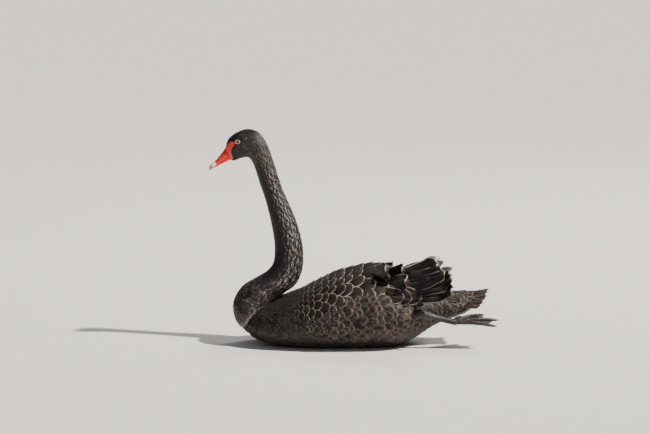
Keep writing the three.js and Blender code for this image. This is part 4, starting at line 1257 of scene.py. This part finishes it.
def tube_points(stations, rings, sides, scutes=0.0):
    """A tube through stations of x, y, z and radius, with its radius rippled into scutes."""
    row = through(stations, np.linspace(0, len(stations) - 1, rings))
    ahead = unit(np.gradient(row[:, :3], axis=0))
    across = unit(np.cross([0, 0, 1.0], ahead))
    up = np.cross(ahead, across)
    angle = np.linspace(0, TURN, sides, endpoint=False)
    far = np.concatenate([[0], np.cumsum(np.linalg.norm(np.diff(row[:, :3], axis=0), axis=1))])
    ripple = scutes * np.abs(np.sin(np.pi * far / SCUTE_STEP))[:, None] * (0.6 + 0.4 * np.sin(angle))[None]
    radius = (row[:, 3:4] + ripple)[..., None]
    return row[:, None, :3] + radius * (across[:, None] * np.cos(angle)[None, :, None]
                                        + up[:, None] * np.sin(angle)[None, :, None])


def floored_piece(name, forms, material):
    """One piece of several closed forms, none of them below the floor."""
    points, faces = joined(forms)
    points[:, 2] = np.maximum(points[:, 2], FLOOR_CLEARANCE)
    return closed_piece(name, points, faces, material)


def ball_points(centre, radii):
    polar = np.linspace(0.03, np.pi - 0.03, 24)[:, None]
    angle = np.linspace(0, TURN, 32, endpoint=False)[None]
    shape = stack(np.sin(polar) * np.cos(angle), np.sin(polar) * np.sin(angle), np.cos(polar))
    return np.array(centre) + shape * np.array(radii)


def leg_piece(name, thigh, shank, material):
    """A feathered thigh's core, the ball of the heel joint and a shank with scutes."""
    return floored_piece(name, [
        closed_grid(tube_points(thigh, 24, 28)),
        closed_grid(ball_points(shank[0][:3], HEEL_JOINT_RADII)),
        closed_grid(tube_points(shank, 110, 28, 0.45)),
    ], material)


def foot_frame(at, roll, turn):
    """The turn and place of a foot: rolled about its own length, then turned about the vertical."""
    c, s = np.cos(roll), np.sin(roll)
    rolled = np.array([[1, 0, 0], [0, c, -s], [0, s, c]])
    c, s = np.cos(turn), np.sin(turn)
    turned = np.array([[c, -s, 0], [s, c, 0], [0, 0, 1]])
    return lambda points: points @ (turned @ rolled).T + np.array(at)


def toe_path(length, spread, arch, t):
    """The middle line of a toe: it bends back towards the middle toe, and arches as half a sine wave."""
    angle = np.radians(spread * (1 - 0.25 * t))
    return stack(t * length * np.cos(angle), -t * length * np.sin(angle), arch * np.sin(np.pi * t))


def foot_piece(name, pose, material, claw):
    """A webbed foot: toes swollen at their joints, a web hung between them in folds, and a hind toe."""
    place = foot_frame(pose["at"], pose["roll"], pose["turn"])
    spread, arch = pose["spread"], pose["arch"]
    toes = [(MIDDLE_TOE * 0.93, spread), (MIDDLE_TOE, 0), (MIDDLE_TOE * 0.8, -spread * 1.1)]
    radius = profile(TOE_RADII)
    forms = [closed_grid(ball_points(pose["at"], HEEL_RADII))]
    claws = []
    for length, away in toes:
        t = np.linspace(0, TOE_ENDS, 60)
        joints = 0.55 * np.exp(-((t[:, None] - TOE_JOINTS) / 0.035) ** 2).sum(axis=1)
        path = place(toe_path(length, away, arch, t))
        stations = np.concatenate([path, (radius(t) * 0.96 + joints)[:, None]], axis=1)
        forms.append(closed_grid(tube_points(stations, 90, 20, 0.22)))
        path = toe_path(length, away, arch, np.linspace(CLAW_FROM, CLAW_TO, 16))
        curve = np.linspace(0, 1, 16)
        path[:, 2] += 1.1 * np.sin(np.pi * curve) - 0.6 * curve
        size = CLAW_RADIUS * (1 - curve) ** 0.7 + 0.25
        claws.append(closed_grid(tube_points(np.concatenate([place(path), size[:, None]], axis=1), 24, 14)))
    a = np.linspace(0, 1, 40)[:, None]
    b = np.linspace(0, 1, 30)[None]
    bow = np.sin(np.pi * b)
    for first, second in zip(toes, toes[1:]):
        t = WEB_FROM + WEB_LONG * a * (1 - 0.16 * bow)
        sheet = toe_path(*first, arch, t) * (1 - b)[..., None] + toe_path(*second, arch, t) * b[..., None]
        folds = 0.9 * np.sin(3 * TURN * b + 2 * a) * bow * a
        sheet[..., 2] += pose["sag"] * a * bow + folds
        sheet = np.concatenate([sheet + [0, 0, WEB_HALF], (sheet - [0, 0, WEB_HALF])[:, ::-1]], axis=1)
        forms.append(closed_grid(place(sheet)))
    hind = np.array(HIND_TOE, float)
    hind[:, :3] = place(hind[:, :3])
    forms.append(closed_grid(tube_points(hind, 30, 16)))
    return floored_piece(name, forms, material), floored_piece(name + "_claws", claws, claw)


# Making the bird

def ready(piece, nodes=()):
    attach(piece, "root")
    if nodes:
        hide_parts(*nodes)
    return piece


# What each kind of feather looks like. Rims begin at the share of the half width given by edge_from and
# at the share of the length given by tip_from, and barbs is how far the wave of the fine lines turns
# over the length, in radians.
FEATHER_LOOKS = {
    "contour_feather": {
        "deep": "#040303", "vane": "#261e1b", "edge": "#9c8e85", "edge_from": 0.76, "tip_from": 0.86,
        "barbs": 60.0, "rough": 0.45, "fringe_and_sheen_by_tint": 0.7, "cloudy": 0.2, "gloss": 0.25,
    },
    "neck_feather": {
        "deep": "#030303", "vane": "#29231f", "edge": "#9f9188", "edge_from": 0.6, "tip_from": 0.6,
        "barbs": 40.0, "rough": 0.45, "fringe_and_sheen_by_tint": 1.0, "cloudy": 0.12, "gloss": 0.3,
    },
    "covert_feather": {
        "deep": "#050404", "vane": "#46382f", "edge": "#bcb0ab", "edge_from": 0.8, "tip_from": 0.9,
        "barbs": 330.0, "rough": 0.6, "fringe_and_sheen_by_tint": 0.4, "cloudy": 0.5, "gloss": 0.16,
    },
    "rump_feather": {
        "deep": "#070505", "vane": "#392b25", "edge": "#93806f", "edge_from": 0.72, "tip_from": 0.82,
        "barbs": 200.0, "rough": 0.55, "fringe_and_sheen_by_tint": 0.6, "cloudy": 0.4, "gloss": 0.3,
    },
    "flight_feather": {
        "deep": "#040303", "vane": "#1d1714", "edge": "#d6c8bc", "edge_from": 0.89, "tip_from": 0.935,
        "barbs": 520.0, "rough": 0.36, "fringe_and_sheen_by_tint": 0.3, "cloudy": 0.5, "gloss": 0.5, "split": 0.4,
    },
    "secondary_feather": {
        "deep": "#050404", "vane": "#43342c", "edge": "#c9bbb0", "edge_from": 0.88, "tip_from": 0.94,
        "barbs": 420.0, "rough": 0.58, "fringe_and_sheen_by_tint": 0.4, "cloudy": 0.6, "gloss": 0.12, "split": 0.5,
    },
    "tail_feather": {
        "deep": "#060404", "vane": "#382b23", "edge": "#96867a", "edge_from": 0.86, "tip_from": 0.93,
        "barbs": 420.0, "rough": 0.5, "fringe_and_sheen_by_tint": 0.6, "cloudy": 0.5, "gloss": 0.35, "split": 0.2,
    },
    "white_flight_feather": {
        "deep": "#cfc9c2", "vane": "#efece6", "edge": "#f7f5f1", "edge_from": 0.8, "tip_from": 0.9,
        "barbs": 400.0, "rough": 0.55, "fringe_and_sheen_by_tint": 0.5, "cloudy": 0.5, "gloss": 0.3,
    },
    "flank_feather": {
        "deep": "#030202", "vane": "#2b211d", "edge": "#85746a", "edge_from": 0.78, "tip_from": 0.84,
        "barbs": 26.0, "rough": 0.5, "fringe_and_sheen_by_tint": 0.4, "cloudy": 0.5, "gloss": 0.15, "split": 0.7,
    },
    "flank_barbs": {
        "deep": "#070504", "vane": "#2d2420", "edge": "#877770", "edge_from": 2.0, "tip_from": 0.75,
        "barbs": 12.0, "rough": 0.5, "fringe_and_sheen_by_tint": 0.6, "cloudy": 0.3, "gloss": 0.3,
    },
}
looks = {name: feather_material(name, **look) for name, look in FEATHER_LOOKS.items()}

ready(skin_piece(skin_material()),
      ["head", "neck_upper", "neck_middle", "neck_lower", "torso"])

horn = bill_material()
for piece, slot_name, node in bill_pieces(horn, nail_material()):
    ready(piece, [node])
face_samples = face_depth()
lids = lid_material()
for side in SIDES:
    ready(lore_piece(side, horn, face_samples))
    eye_ball, eye_lid = eye_pieces(side, eye_material(side), lids)
    ready(eye_ball, ["eye_" + SIDE_NAMES[side]])
    ready(eye_lid)

# Each leaf has its rows along the feather and its columns across it.
small = leaf(4, 3)
medium = leaf(5, 5)
broad = leaf(8, 9)
large = leaf(10, 9)
grand = leaf(28, 13)

for seed, (name, coat) in enumerate(NECK_COATS.items(), 1):
    ready(neck_coat(name, coat, small, looks["neck_feather"], seed))
torso_leaves = {"coat_breast": small, "coat_body": medium, "coat_rump": medium}
for seed, (name, coat) in enumerate(TORSO_COATS.items(), 4):
    ready(torso_coat(name, coat, torso_leaves[name], looks[coat["look"]], seed))
for side in SIDES:
    ready(wing_coverts(side, large, looks["covert_feather"]), ["wing_" + SIDE_NAMES[side]])
    for name, (group, look, seed) in OPEN_GROUPS.items():
        ready(open_piece(name, side, group, grand, looks[look], seed))
    for piece in flank_fluff(side, broad, small, looks["flank_feather"], looks["flank_barbs"], 72):
        ready(piece)
for number, (name, tier) in enumerate(TAIL_TIERS.items()):
    ready(tail_piece(name, tier, grand, looks["tail_feather"], 80 + number),
          ["tail"] if number == 0 else [])

scaly, claw_horn = leg_material(), claw_material()
for node, (thigh, shank) in LEGS.items():
    ready(leg_piece(node + "_scaly", thigh, shank, scaly), [node])
for node, pose in FEET.items():
    foot, claws = foot_piece(node + "_webbed", pose, scaly, claw_horn)
    ready(foot, [node])
    ready(claws)


# Floor, light and camera

FLOOR_REACH = 40000.0


def floor_piece():
    """A plain pale floor, matt like seamless paper."""
    material, _ = new_material("floor_paper", Roughness=0.9, Base_Color=linear("#e4e1dc"))
    corners = FLOOR_REACH * np.array([(-1, -1, 0), (1, -1, 0), (1, 1, 0), (-1, 1, 0)], float)
    new_object("floor", new_mesh("floor", corners, np.array([[0, 1, 2, 3]])), material)


def direction(aim):
    """The turn that points a lamp or camera along a line."""
    return Vector(aim).to_track_quat("-Z", "Y").to_euler()


def lamp(name, kind, energy, place, size, colour):
    """A lamp at a place in metres that shines at the middle of the bird.

    The size is a disk's width in metres, or the angle that the sun fills.
    """
    light = bpy.data.lights.new(name, kind)
    light.energy = energy
    light.color = linear(colour)[:3]
    if kind == "AREA":
        light.shape = "DISK"
        light.size = size
    else:
        light.angle = size
    lamp_object = bpy.data.objects.new(name, light)
    lamp_object.location = place
    lamp_object.rotation_euler = direction(np.array(LAMP_AIM) - np.array(place))
    bpy.context.scene.collection.objects.link(lamp_object)


LAMP_AIM = (0, 0, 0.25)


PIXEL = 2.45 * MILLIMETRE
PHOTO_WIDTH = 650
ELEVATION = np.radians(8)
CAMERA_DISTANCE = 9.0
CAMERA_AIM = np.array([-0.049, 0.0, 0.315])
SENSOR = 36.0

floor_piece()
lamp("sun_key", "SUN", 6.4, (2.3, -1.2, 3.2), 0.05, "#fff8f1")
lamp("front_fill", "AREA", 18.0, (-1.5, -3.5, 2.0), 2.6, "#f2f6ff")
lamp("rim_light", "AREA", 60.0, (1.6, 2.2, 2.6), 1.2, "#fff8f0")

world = bpy.data.worlds.new("studio")
world.use_nodes = True
world.node_tree.nodes["Background"].inputs["Color"].default_value = linear("#dfe4ea")
world.node_tree.nodes["Background"].inputs["Strength"].default_value = 0.25
bpy.context.scene.world = world

camera = bpy.data.cameras.new("camera")
camera.sensor_width = SENSOR
camera.lens = SENSOR * CAMERA_DISTANCE / (PHOTO_WIDTH * PIXEL)
camera.clip_end = 200
camera_object = bpy.data.objects.new("camera", camera)
towards = np.array([0, -np.cos(ELEVATION), np.sin(ELEVATION)])
camera_object.location = CAMERA_AIM + CAMERA_DISTANCE * towards
camera_object.rotation_euler = direction(-towards)
bpy.context.scene.collection.objects.link(camera_object)
bpy.context.scene.camera = camera_object
